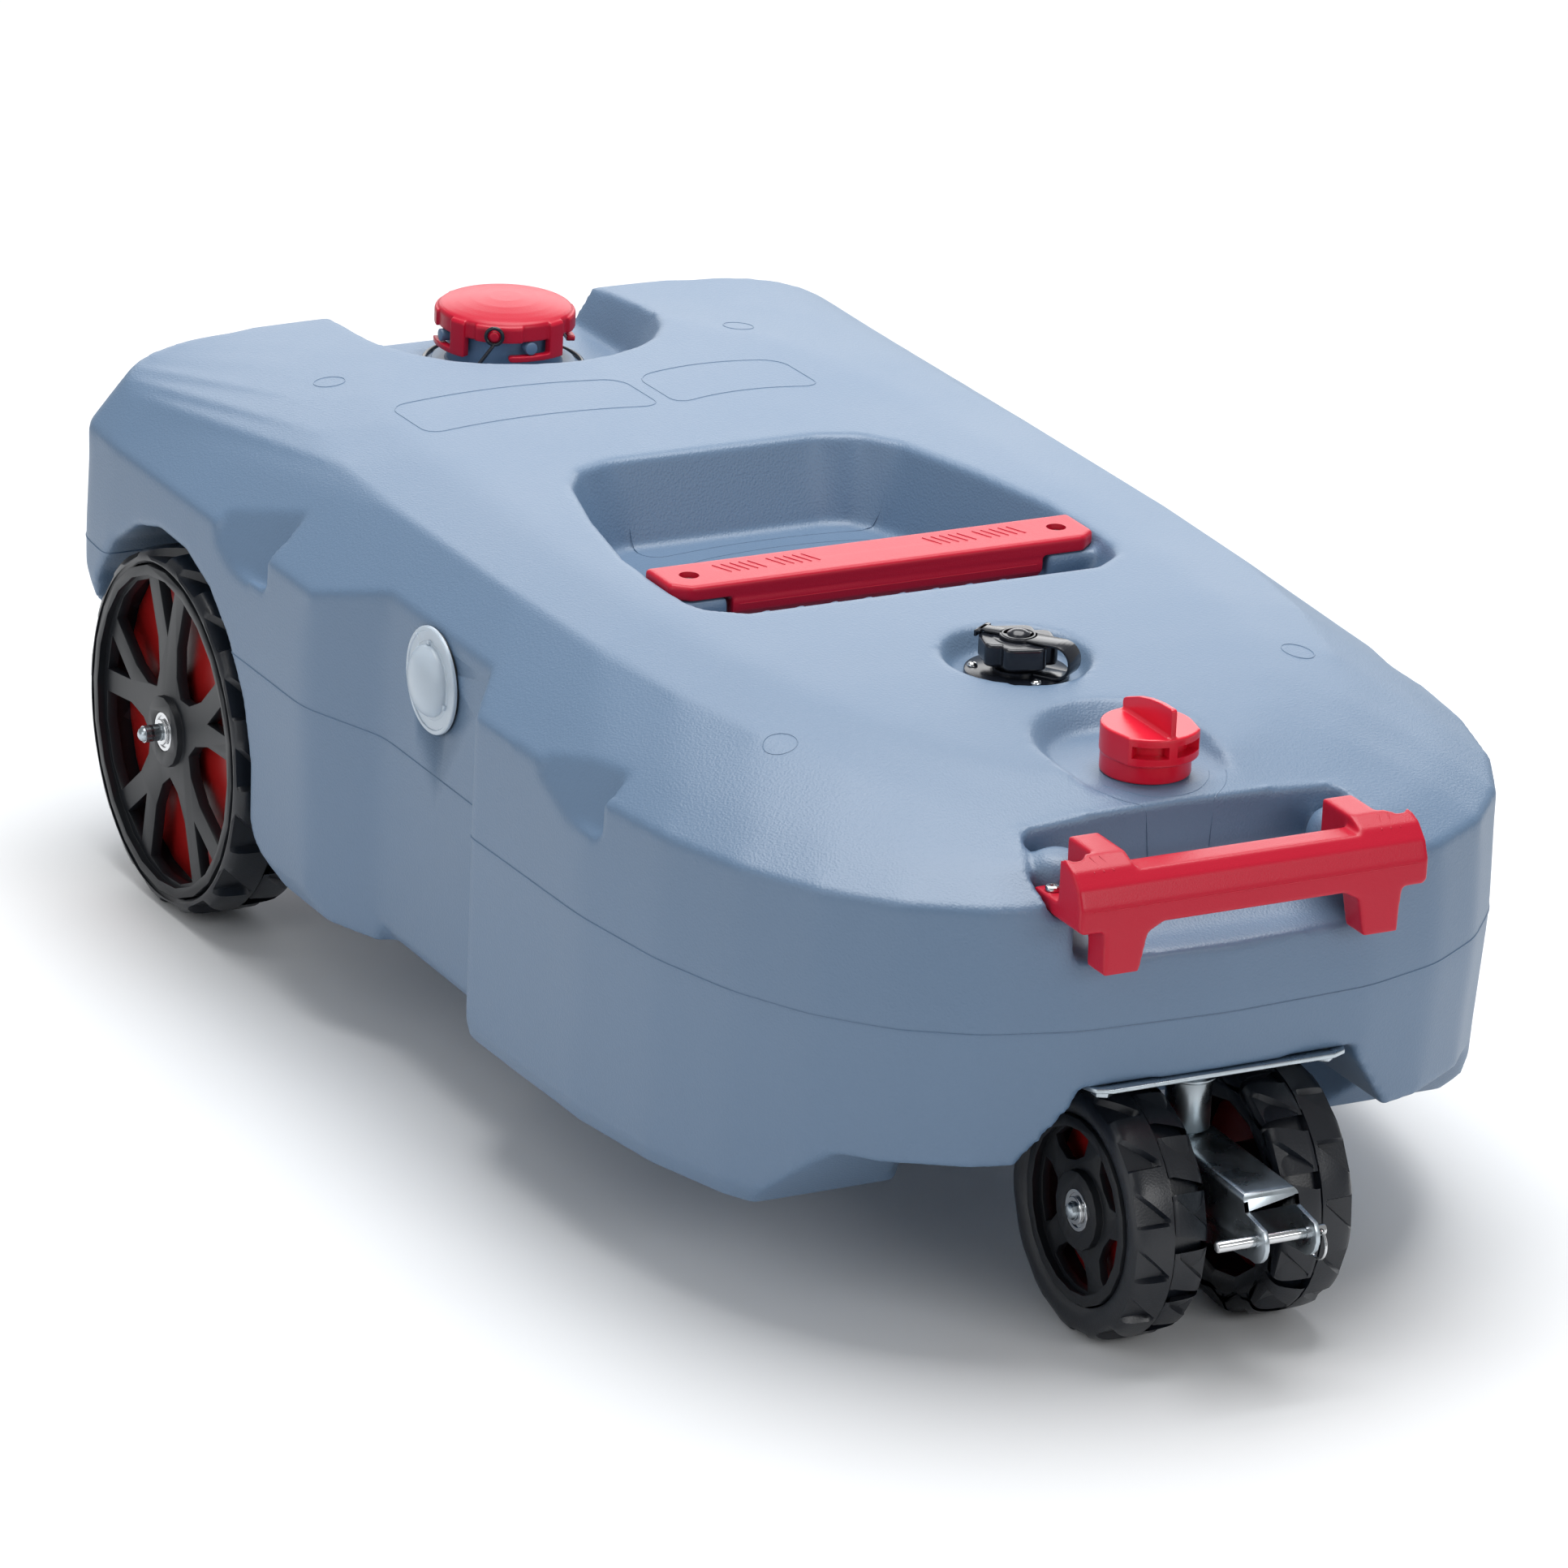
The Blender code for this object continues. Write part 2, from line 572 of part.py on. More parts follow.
def tank_cutters(tag, grow, steps):
    """Everything cut from the tank; grow makes the like shape one wall larger for the hollow."""
    made = []
    reach = 0.40
    for side in (-1, 1):
        scoop = [(WAIST_X - grow, WAIST_FRONT_Y - grow * 0.4),
                 (reach, WAIST_FRONT_Y - grow * 0.4 - (reach - WAIST_X + grow) * WAIST_FRONT_FLARE),
                 (reach, WAIST_REAR_Y + grow * 0.3 + (reach - WAIST_X + grow) * WAIST_REAR_FLARE),
                 (WAIST_X - grow, WAIST_REAR_Y + grow * 0.3)]
        scoop = [(side * x, y) for x, y in scoop]
        made.append(prism(f"scoop_{tag}_{side}", scoop, 0.0, 0.45))

        foot = WAIST_X - grow
        chamfer = [(side * (foot + 0.002), SOLE_Z + 0.018), (side * (foot - 0.016), SOLE_Z - 0.001),
                   (side * (foot + 0.06), SOLE_Z - 0.04)]
        made.append(prism(f"waist_foot_{tag}_{side}", chamfer, WAIST_FRONT_Y, WAIST_REAR_Y, axis="Y"))

        wall = side * (ARCH_INNER_X - grow)
        low, high = sorted((wall, side * reach))
        made.append(prism(f"arch_{tag}_{side}", arch_outline(grow, steps), low, high, axis="X"))

        for index, y in enumerate(NOTCH_YS):
            notch = box(f"notch_{tag}_{side}_{index}", (-NOTCH_DEPTH - grow, -NOTCH_LENGTH / 2 - grow,
                        -NOTCH_HEIGHT / 2 - grow), (0.06, NOTCH_LENGTH / 2 + grow, NOTCH_HEIGHT / 2 + grow))
            notch.location = (side * (HALF_WIDTH - 0.003), y, SHOULDER_Z + 0.008)
            facing = 0 if side > 0 else pi
            notch.rotation_euler = (0, -NOTCH_LEAN, facing - side * NOTCH_YAW)
            made.append(notch)

    pocket_top = 2 * DECK_Z - POCKET_FLOOR_Z
    pocket = prism(f"pocket_{tag}", pocket_outline(grow - POCKET_FLARE), POCKET_FLOOR_Z - grow, pocket_top,
                   top=pocket_outline(grow + POCKET_FLARE))
    edge_y = TOP_HANDLE_W / 2 + 0.0012
    seat_x = TOP_HANDLE_HALF + 0.0012 + grow
    seat_z = TOP_HANDLE_Z - TOP_FLANGE_T - SEAT_GAP - grow
    made.append(box(f"handle_seat_{tag}", (-seat_x, TOP_HANDLE_Y - edge_y - grow, seat_z),
                    (seat_x, TOP_HANDLE_Y + edge_y + grow, 0.42)))
    for side in (-1, 1):
        low, high = sorted((side * (TOP_GRIP_HALF + 0.0035 + grow), side * 0.25))
        ledge = box(f"ledge_{tag}_{side}", (low, TOP_HANDLE_Y - edge_y + grow, 0.25),
                    (high, TOP_HANDLE_Y + edge_y - grow, seat_z))
        boolean(pocket, [ledge])
    made.append(pocket)

    round_steps = 2 * steps
    made.append(rod(f"rinse_{tag}", outside(RINSE_FLOOR_R, grow, round_steps), RINSE_FLOOR_Z - grow, 0.40,
                    (0, RINSE_Y), segments=round_steps,
                    end_radius=outside(RINSE_FLOOR_R + RINSE_FLARE * (0.40 - RINSE_FLOOR_Z), grow, round_steps)))

    vent_half = outside(VENT_POCKET_R, grow, round_steps)
    vent = arc((0, VENT_POCKET_Y), vent_half, 0, pi, steps) + [(-vent_half, -0.55), (vent_half, -0.55)]
    vent_rise = 0.030
    made.append(prism(f"vent_{tag}", vent, VENT_FLOOR_Z - grow, VENT_FLOOR_Z - grow + vent_rise,
                      top=grown(vent, vent_rise * VENT_POCKET_FLARE)))

    upper_half = HANDLE_HALF + HANDLE_GAP
    corner = upper_half - 0.0148
    shelf_z = HANDLE_BAR_Z - grow
    shelf_y = HANDLE_REAR_Y + HANDLE_GAP
    upper = [(upper_half, -0.72), (upper_half, shelf_y), (corner, RECESS_REAR_Y + 0.008), (-corner, RECESS_REAR_Y + 0.008),
             (-upper_half, shelf_y), (-upper_half, -0.72)]
    made.append(prism(f"shelf_{tag}", grown(upper, grow), shelf_z, 0.42))
    made.append(recess_floor(f"hand_{tag}", grow))

    wide = outside(BAY_R + 0.006, grow, round_steps)
    narrow = outside(BAY_FLOOR_R, grow, round_steps)
    bay_top = arc((0, INLET_Y), wide, pi, tau, steps) + [(wide, 0.66), (-wide, 0.66)]
    bay_low = arc((0, INLET_Y), narrow, pi, tau, steps) + [(narrow, 0.66), (-narrow, 0.66)]
    made.append(prism(f"bay_{tag}", bay_low, BAY_FLOOR_Z - grow, 0.379, top=bay_top))

    foot = KEEL_FRONT_Y + grow
    keel = [(-0.70, -0.05), (foot + 0.001, -0.05), (foot, SOLE_Z), (foot - KEEL_SLANT, LOBE_Z + grow),
            (-0.70, LOBE_Z + grow)]
    made.append(prism(f"keel_{tag}", keel, -0.42, 0.42, axis="X"))
    made.append(rod(f"swing_{tag}", outside(SWING_R, grow, round_steps), -0.05, LOBE_Z + grow, (0, CASTER_Y),
                    segments=round_steps))
    well_low = [(-WELL_HALF_LOW - grow, LOBE_Z - 0.02), (WELL_HALF_LOW + grow, LOBE_Z - 0.02),
                (WELL_HALF_LOW + grow, LOBE_Z), (WELL_HALF_HIGH + grow, PLATE_Z - 0.012),
                (WELL_HALF_HIGH - 0.004 + grow, PLATE_Z + grow), (-WELL_HALF_HIGH + 0.004 - grow, PLATE_Z + grow),
                (-WELL_HALF_HIGH - grow, PLATE_Z - 0.012), (-WELL_HALF_LOW - grow, LOBE_Z)]
    made.append(prism(f"well_{tag}", well_low, -0.70, WELL_REAR_Y + grow, axis="Y"))

    made.append(rod(f"tunnel_{tag}", outside(AXLE_R + RUN_GAP, grow, 12), -0.40, 0.40,
                    (REAR_AXLE_Y, REAR_TYRE_R), axis="X", segments=12))
    return made


def boss(name, x, y, seat_z, down=True):
    """Solid material left in the hollow round a threaded insert."""
    low, high = (seat_z - 0.018, seat_z + 0.004) if down else (seat_z - 0.004, seat_z + 0.018)
    return rod(name, 0.0085, low, high, (x, y), segments=8)


def make_tank():
    tank = loft("tank_shell", tank_levels(0.0, OUTER_STEPS), "tank")
    boolean(tank, tank_cutters("outer", 0.0, 12))

    hollow = loft("hollow", tank_levels(WALL, HOLLOW_STEPS))
    boolean(hollow, tank_cutters("inner", WALL, 6))
    bosses = []
    for side in (-1, 1):
        bosses.append(boss(f"boss_top_{side}", side * TOP_SCREW_X, TOP_HANDLE_Y,
                           TOP_HANDLE_Z - TOP_FLANGE_T))
        bosses.append(boss(f"boss_front_{side}", side * HANDLE_SCREW_X, HANDLE_SCREW_Y, HANDLE_BAR_Z))
    for index, (x, y) in enumerate(plate_bolts()):
        bosses.append(boss(f"boss_plate_{index}", x, y, PLATE_Z, down=False))
    boolean(hollow, bosses)
    boolean(tank, [hollow])

    vent_tube = rod("vent_tube", VENT_NECK_R, VENT_FLOOR_Z - WALL / 2, VENT_NECK_Z, (0, VENT_Y), segments=20)
    boolean(tank, [vent_tube], "UNION")
    holes = [
        rod("inlet_hole", NECK_BORE_R + 0.001, 0.30, 0.36, (0, INLET_Y), segments=24),
        rod("vent_hole", VENT_BORE_R, 0.30, 0.40, (0, VENT_Y), segments=16),
        rod("rinse_hole", RINSE_NECK_R + 0.001, 0.30, 0.36, (0, RINSE_Y), segments=16),
        rod("window_hole", WINDOW_HOLE_R, -0.32, -0.26, (WINDOW_Y, WINDOW_Z), axis="X", segments=20),
    ]
    for side in (-1, 1):
        holes.append(rod(f"top_insert_{side}", SCREW_R + RUN_GAP, TOP_SCREW_TIP_Z - SEAT_GAP, 0.40,
                         (side * TOP_SCREW_X, TOP_HANDLE_Y), segments=8))
        holes.append(rod(f"front_insert_{side}", SCREW_R + RUN_GAP, FRONT_SCREW_TIP_Z - SEAT_GAP, 0.33,
                         (side * HANDLE_SCREW_X, HANDLE_SCREW_Y), segments=8))
    for index, (x, y) in enumerate(plate_bolts()):
        holes.append(rod(f"plate_insert_{index}", BOLT_R + RUN_GAP, 0.15, PLATE_BOLT_TIP_Z + SEAT_GAP,
                         (x, y), segments=8))
    boolean(tank, holes)
    return tank


# Fasteners
SCREW_R = 0.0025
SCREW_HEAD_R = 0.0052
SCREW_HEAD_T = 0.0032
BOLT_R = 0.004
BOLT_HEAD_R = 0.0072
BOLT_HEAD_T = 0.005
SCREW_REACH = 0.012
TOP_SCREW_TIP_Z = TOP_HANDLE_Z - TOP_FLANGE_T - SCREW_REACH
FRONT_SCREW_TIP_Z = HANDLE_BAR_Z - SCREW_REACH
PLATE_BOLT_TIP_Z = PLATE_Z + 0.014


def plate_bolts():
    inset = 0.014
    return [(side * (PLATE_HALF - inset), y) for side in (-1, 1)
            for y in (PLATE_FRONT_Y + inset, PLATE_REAR_Y - inset)]


def headed(name, spot, head_r, head_low, head_high, shank_r, shank_low, shank_high, finish, sides=12):
    """A screw or bolt standing on the Z axis at a spot: its head joined to its shank."""
    head = rod(name, head_r, head_low, head_high, spot, segments=sides, finish=finish)
    shank = rod(name + "_shank", shank_r, shank_low, shank_high, spot, segments=6)
    return boolean(head, [shank], "UNION")


# Handles

def make_top_handle():
    low = TOP_HANDLE_Z - TOP_FLANGE_T
    grip = TOP_HANDLE_Z - TOP_GRIP_DEPTH
    right = [(TOP_HANDLE_HALF, TOP_HANDLE_Z), (TOP_HANDLE_HALF, low), (TOP_GRIP_HALF, low),
             (TOP_GRIP_HALF - 0.012, grip + 0.003), (TOP_GRIP_HALF - 0.020, grip)]
    outline = right + [(-x, z) for x, z in reversed(right)]
    half = TOP_HANDLE_W / 2
    handle = prism("top_handle", outline, TOP_HANDLE_Y - half, TOP_HANDLE_Y + half, axis="Y", finish="red")
    bevel(handle, 0.0035)
    sockets = []
    for side in (-1, 1):
        spot = (side * TOP_SCREW_X, TOP_HANDLE_Y)
        sockets.append(rod(f"top_socket_{side}", SCREW_HEAD_R + 0.0012, low + 0.0055, TOP_HANDLE_Z + 0.01, spot,
                           segments=12))
        sockets.append(rod(f"top_clear_{side}", SCREW_R + RUN_GAP, low - 0.01, TOP_HANDLE_Z, spot, segments=8))
    grips = 7
    for i in range(grips):
        x = (i - (grips - 1) / 2) * 0.027
        sockets.append(rod(f"top_flute_{i}", 0.005, TOP_HANDLE_Y - 0.03, TOP_HANDLE_Y + 0.03,
                           (x, grip - 0.0032), axis="Y", segments=8))
    boolean(handle, sockets)
    head = low + 0.0055 + SEAT_GAP
    for side in (-1, 1):
        headed(f"top_handle_screw_{side_name(side)}", (side * TOP_SCREW_X, TOP_HANDLE_Y), SCREW_HEAD_R,
               head, head + SCREW_HEAD_T, SCREW_R, TOP_SCREW_TIP_Z, head + 0.001, "steel")


def make_front_handle():
    shoulder = HANDLE_BAR_Z + SEAT_GAP
    bar_low = HANDLE_BAR_Z + 0.002
    edge = 0.0025
    right = [(HANDLE_HALF - edge, HANDLE_TOP_Z), (HANDLE_HALF, HANDLE_TOP_Z - edge), (HANDLE_HALF, shoulder + edge),
             (HANDLE_HALF - edge, shoulder), (HANDLE_LEG_HALF + 0.001, shoulder),
             (HANDLE_LEG_HALF, shoulder - 0.006), (HANDLE_LEG_HALF - 0.001, HANDLE_LEG_Z),
             (HANDLE_LEG_HALF - 0.026, HANDLE_LEG_Z), (HANDLE_LEG_HALF - 0.031, bar_low - 0.006),
             (HANDLE_LEG_HALF - 0.042, bar_low)]
    front_view = right + [(-x, z) for x, z in reversed(right)]
    handle = prism("front_handle", front_view, HANDLE_FRONT_Y, HANDLE_REAR_Y, axis="Y", finish="red")
    side_view = [(HANDLE_FRONT_Y + 0.0015, 0.25), (HANDLE_REAR_Y + 0.01, 0.25), (HANDLE_REAR_Y + 0.01, 0.36),
                 (HANDLE_TAB_FRONT_Y - 0.002, HANDLE_TOP_Z + 0.001), (-0.563, 0.339), (-0.572, 0.330),
                 (HANDLE_FRONT_Y, 0.318), (HANDLE_FRONT_Y, 0.302)]
    boolean(handle, [prism("handle_side", side_view, -0.2, 0.2, axis="X")], "INTERSECT")
    inner = HANDLE_LEG_HALF - 0.026
    cuts = [
        box("handle_back", (-inner, HANDLE_BAR_REAR_Y, 0.25), (inner, HANDLE_REAR_Y + 0.02, 0.40)),
        box("handle_dip", (-inner, -0.60, 0.3365), (inner, -0.50, 0.40)),
    ]
    for side in (-1, 1):
        low, high = sorted((side * (HANDLE_LEG_HALF + 0.0025), side * 0.07))
        cuts.append(box(f"leg_back_{side}", (low, -0.5535, 0.25), (high, -0.50, shoulder)))
        spot = (side * HANDLE_SCREW_X, HANDLE_SCREW_Y)
        low, high = sorted((side * (HANDLE_LEG_HALF - 0.004), side * 0.15))
        cuts.append(box(f"tab_top_{side}", (low, HANDLE_TAB_FRONT_Y, shoulder + HANDLE_TAB_T),
                        (high, -0.50, 0.40)))
        cuts.append(rod(f"front_clear_{side}", SCREW_R + RUN_GAP, 0.25, 0.40, spot, segments=8))
    boolean(handle, cuts)
    head = shoulder + HANDLE_TAB_T + SEAT_GAP
    for side in (-1, 1):
        headed(f"front_handle_screw_{side_name(side)}", (side * HANDLE_SCREW_X, HANDLE_SCREW_Y), SCREW_HEAD_R,
               head, head + SCREW_HEAD_T, SCREW_R, FRONT_SCREW_TIP_Z, head + 0.001, "steel")


# Wheels: modelled flat, with the outer face up, and turned onto the axle by their holder

LUG_PLACES = (0.05, 0.48, 0.72)


def make_tyre(name, width, bead_r, tip_r, lugs, lug_h, holder):
    """A turned tyre whose shoulders rise and fall in lugs, staggered from side to side."""
    half = width / 2
    pitch = tau / lugs
    widest = max(b - a for a, b in zip(LUG_PLACES, LUG_PLACES[1:] + (1 + LUG_PLACES[0],)))
    bead_r = bead_r / cos(widest * pitch / 2)
    side = [(half - 0.003, bead_r), (half, tip_r - lug_h * 1.3), (half * 0.16, tip_r)]
    profile = side + [(-z, r) for z, r in reversed(side)]
    bm = bmesh.new()
    verts = [bm.verts.new((r, 0, z)) for z, r in profile]
    edges = [bm.edges.new((verts[i - 1], verts[i])) for i in range(len(verts))]
    steps = lugs * len(LUG_PLACES)
    bmesh.ops.spin(bm, geom=verts + edges, cent=(0, 0, 0), axis=(0, 0, 1), angle=tau, steps=steps,
                   use_merge=True, use_duplicate=False)
    bmesh.ops.remove_doubles(bm, verts=bm.verts, dist=0.00001)
    skew = 0.16 * pitch
    for vert in bm.verts:
        radius = Vector(vert.co[:2]).length
        step = round(degrees(atan2(vert.co.y, vert.co.x)) / (360 / steps)) % steps
        lug, place_in_lug = divmod(step, len(LUG_PLACES))
        outside = vert.co.z > 0
        across = abs(vert.co.z) / half
        raised = place_in_lug > 0 if outside else place_in_lug < 2
        angle = pitch * (lug + LUG_PLACES[place_in_lug])
        if radius > bead_r + 0.001:
            radius -= 0.0 if raised else lug_h * (1.0 if across > 0.5 else 0.45)
            angle += skew * across * (1 if outside else -1)
        vert.co = (radius * cos(angle), radius * sin(angle), vert.co.z)
    bmesh.ops.recalc_face_normals(bm, faces=bm.faces)
    return finish_bmesh(name, bm, "rubber", holder, smooth=True)


def polar(radius, angle):
    return (radius * cos(angle), radius * sin(angle))


def window(places, centre):
    """A closed outline mirrored about a radial line; places are (radius, half angle)."""
    left = [polar(r, centre + radians(a)) for r, a in places]
    right = [polar(r, centre - radians(a)) for r, a in reversed(places) if a > 0]
    return left + right


def make_rear_rim(name, holder, phase):
    outer = REAR_BEAD_R - SEAT_GAP
    face = REAR_TYRE_W / 2
    lip = outer - REAR_RIM_LIP
    barrel = outer - 0.003
    web_top = face - 0.006
    web_low = web_top - 0.008
    profile = [(lip, face), (outer, face), (outer, -face + 0.004), (barrel, -face + 0.004), (barrel, web_low)]
    rim = turned(name, profile, 24, "black", holder)
    edge = lip - 0.0015
    splines = [[polar(barrel + 0.0015, tau * i / 24) for i in range(24)]]
    for i in range(REAR_SPOKES):
        spoke = phase + tau * i / REAR_SPOKES
        gap = spoke + pi / REAR_SPOKES
        splines.append(window([(REAR_HUB_R + 0.0087, 0), (REAR_HUB_R + 0.0187, 17), (edge - 0.0442, 22),
                               (edge - 0.002, 19.5), (edge, 8)], gap))
        splines.append(window([(edge - 0.0402, 0), (edge - 0.002, 7.6)], spoke))
    web = curve_piece(name + "_web", splines, extrude=(web_top - web_low) / 2, flat=True, parent=holder)
    web.location.z = (web_top + web_low) / 2
    hub = rod(name + "_hub", REAR_HUB_R, REAR_INNER_FACE + SEAT_GAP, face - 0.001, segments=16, parent=holder)
    boolean(rim, [web, hub], "UNION")
    return boolean(rim, bearing_seats(name, face - 0.0012, REAR_INNER_FACE, holder))


def make_front_rim(name, holder, phase):
    outer = FRONT_BEAD_R - SEAT_GAP
    face = FRONT_TYRE_W / 2
    lip = outer - 0.0075
    barrel = outer - 0.003
    web_top = face - 0.007
    web_low = web_top - 0.006
    profile = [(lip, face - 0.0005), (outer, face - 0.0005), (outer, -face + 0.003), (barrel, -face + 0.003),
               (barrel, web_low)]
    rim = turned(name, profile, 20, "black", holder)
    edge = lip - 0.001
    splines = [[polar(barrel + 0.0015, tau * i / 20) for i in range(20)]]
    for i in range(FRONT_SPOKES):
        gap = phase + tau * i / FRONT_SPOKES
        splines.append(window([(FRONT_HUB_R + 0.0055, 0), (FRONT_HUB_R + 0.009, 19), (edge - 0.0077, 25),
                               (edge, 24), (edge, 8)], gap))
    web = curve_piece(name + "_web", splines, extrude=(web_top - web_low) / 2, flat=True, parent=holder)
    web.location.z = (web_top + web_low) / 2
    hub = rod(name + "_hub", FRONT_HUB_R, FRONT_INNER_FACE + SEAT_GAP, face - 0.0015, segments=16, parent=holder)
    boolean(rim, [web, hub], "UNION")
    return boolean(rim, bearing_seats(name, face - 0.0017, FRONT_INNER_FACE, holder))


def make_wheel_disc(name, hub_r, barrel_r, z, thickness, segments, holder):
    """The dished coloured disc that shows through the spokes."""
    outer = barrel_r - SEAT_GAP
    inner = outside(hub_r, SEAT_GAP, segments)
    dish = 0.006
    profile = [(inner, z + dish), (outer, z), (outer, z - thickness), (inner, z + dish - thickness)]
    return turned(name, profile, segments, "dark_red", holder)


def make_bearings(name, outer_face, inner_face, holder):
    """The outer and the inner bearing of a wheel."""
    turned(name + "_outer", ring_profile(AXLE_R + RUN_GAP, BEARING_R, outer_face - BEARING_W, outer_face), 12,
           "steel", holder)
    turned(name + "_inner", ring_profile(AXLE_R + RUN_GAP, BEARING_R, inner_face, inner_face + BEARING_W), 12,
           "steel", holder)


def bearing_seats(name, outer_face, inner_face, holder):
    """The bore of a hub with a seat for a bearing at each end."""
    bore = rod(name + "_bore", BEARING_R - 0.004, -0.1, 0.1, segments=8, parent=holder)
    outer = rod(name + "_seat_outer", BEARING_R + RUN_GAP, outer_face - BEARING_W - SEAT_GAP, 0.1, segments=12,
                parent=holder)
    inner = rod(name + "_seat_inner", BEARING_R + RUN_GAP, -0.1, inner_face + BEARING_W + SEAT_GAP, segments=12,
                parent=holder)
    return [bore, outer, inner]


def wheel_holder(name, x, y, z, side):
    return make_empty(name, (side * x, y, z), ground, (0, side * pi / 2, 0))


def side_name(side):
    return "left" if side < 0 else "right"


def make_rear_wheels():
    face = REAR_TYRE_W / 2
    for side in (-1, 1):
        end = side_name(side)
        holder = wheel_holder(f"rear_axis_{end}", REAR_OUTER_X - face, REAR_AXLE_Y, REAR_TYRE_R, side)
        make_tyre(f"rear_tyre_{end}", REAR_TYRE_W, REAR_BEAD_R, REAR_TYRE_R, REAR_LUGS, 0.0045, holder)
        make_rear_rim(f"rear_rim_{end}", holder, REAR_SPOKE_PHASE)
        make_wheel_disc(f"rear_disc_{end}", REAR_HUB_R, REAR_BEAD_R - SEAT_GAP - 0.003, face - 0.026,
                        0.003, 24, holder)
        make_bearings(f"rear_bearing_{end}", face - 0.0012, REAR_INNER_FACE, holder)
    half = REAR_OUTER_X + 0.0175
    spot = (REAR_AXLE_Y, REAR_TYRE_R)
    rod("rear_axle", AXLE_R, -half, half, spot, axis="X", segments=12, finish="zinc")
    for side in (-1, 1):
        holder = make_empty(f"rear_stub_{side_name(side)}", (0, *spot), ground, (0, side * pi / 2, 0))
        turned(f"rear_clip_{side_name(side)}", ring_profile(AXLE_R + SEAT_GAP, 0.0092, REAR_OUTER_X - 0.0009,
               REAR_OUTER_X + 0.0009), 12, "steel", holder)


def make_front_wheels():
    face = FRONT_TYRE_W / 2
    for side in (-1, 1):
        end = side_name(side)
        holder = wheel_holder(f"front_axis_{end}", FRONT_OUTER_X - face, CASTER_Y, FRONT_TYRE_R, side)
        make_tyre(f"front_tyre_{end}", FRONT_TYRE_W, FRONT_BEAD_R, FRONT_TYRE_R, FRONT_LUGS, 0.0042, holder)
        make_front_rim(f"front_rim_{end}", holder, FRONT_SPOKE_PHASE)
        make_wheel_disc(f"front_disc_{end}", FRONT_HUB_R, FRONT_BEAD_R - SEAT_GAP - 0.003, face - 0.024,
                        0.0025, 20, holder)
        make_bearings(f"front_bearing_{end}", face - 0.0017, FRONT_INNER_FACE, holder)
    spot = (CASTER_Y, FRONT_TYRE_R)
    half = FRONT_OUTER_X + 0.0045
    rod("front_axle", AXLE_R, -half, half, spot, axis="X", segments=12, finish="zinc")
    for side in (-1, 1):
        holder = make_empty(f"front_stub_{side_name(side)}", (0, *spot), ground, (0, side * pi / 2, 0))
        bearing_face = FRONT_OUTER_X - 0.0017
        turned(f"front_clip_{side_name(side)}", ring_profile(AXLE_R + SEAT_GAP, 0.0092,
               bearing_face + SEAT_GAP, bearing_face + 0.0018), 12, "steel", holder)


# Caster, tow channel and tow pin

def rounded_plate(name, low, high, z_low, z_high, corner, finish):
    (x0, y0), (x1, y1) = low, high
    outline = (arc((x1 - corner, y1 - corner), corner, 0, pi / 2, 2)
               + arc((x0 + corner, y1 - corner), corner, pi / 2, pi, 2)
               + arc((x0 + corner, y0 + corner), corner, pi, 1.5 * pi, 2)
               + arc((x1 - corner, y0 + corner), corner, 1.5 * pi, tau, 2))
    return prism(name, outline, z_low, z_high, finish=finish)


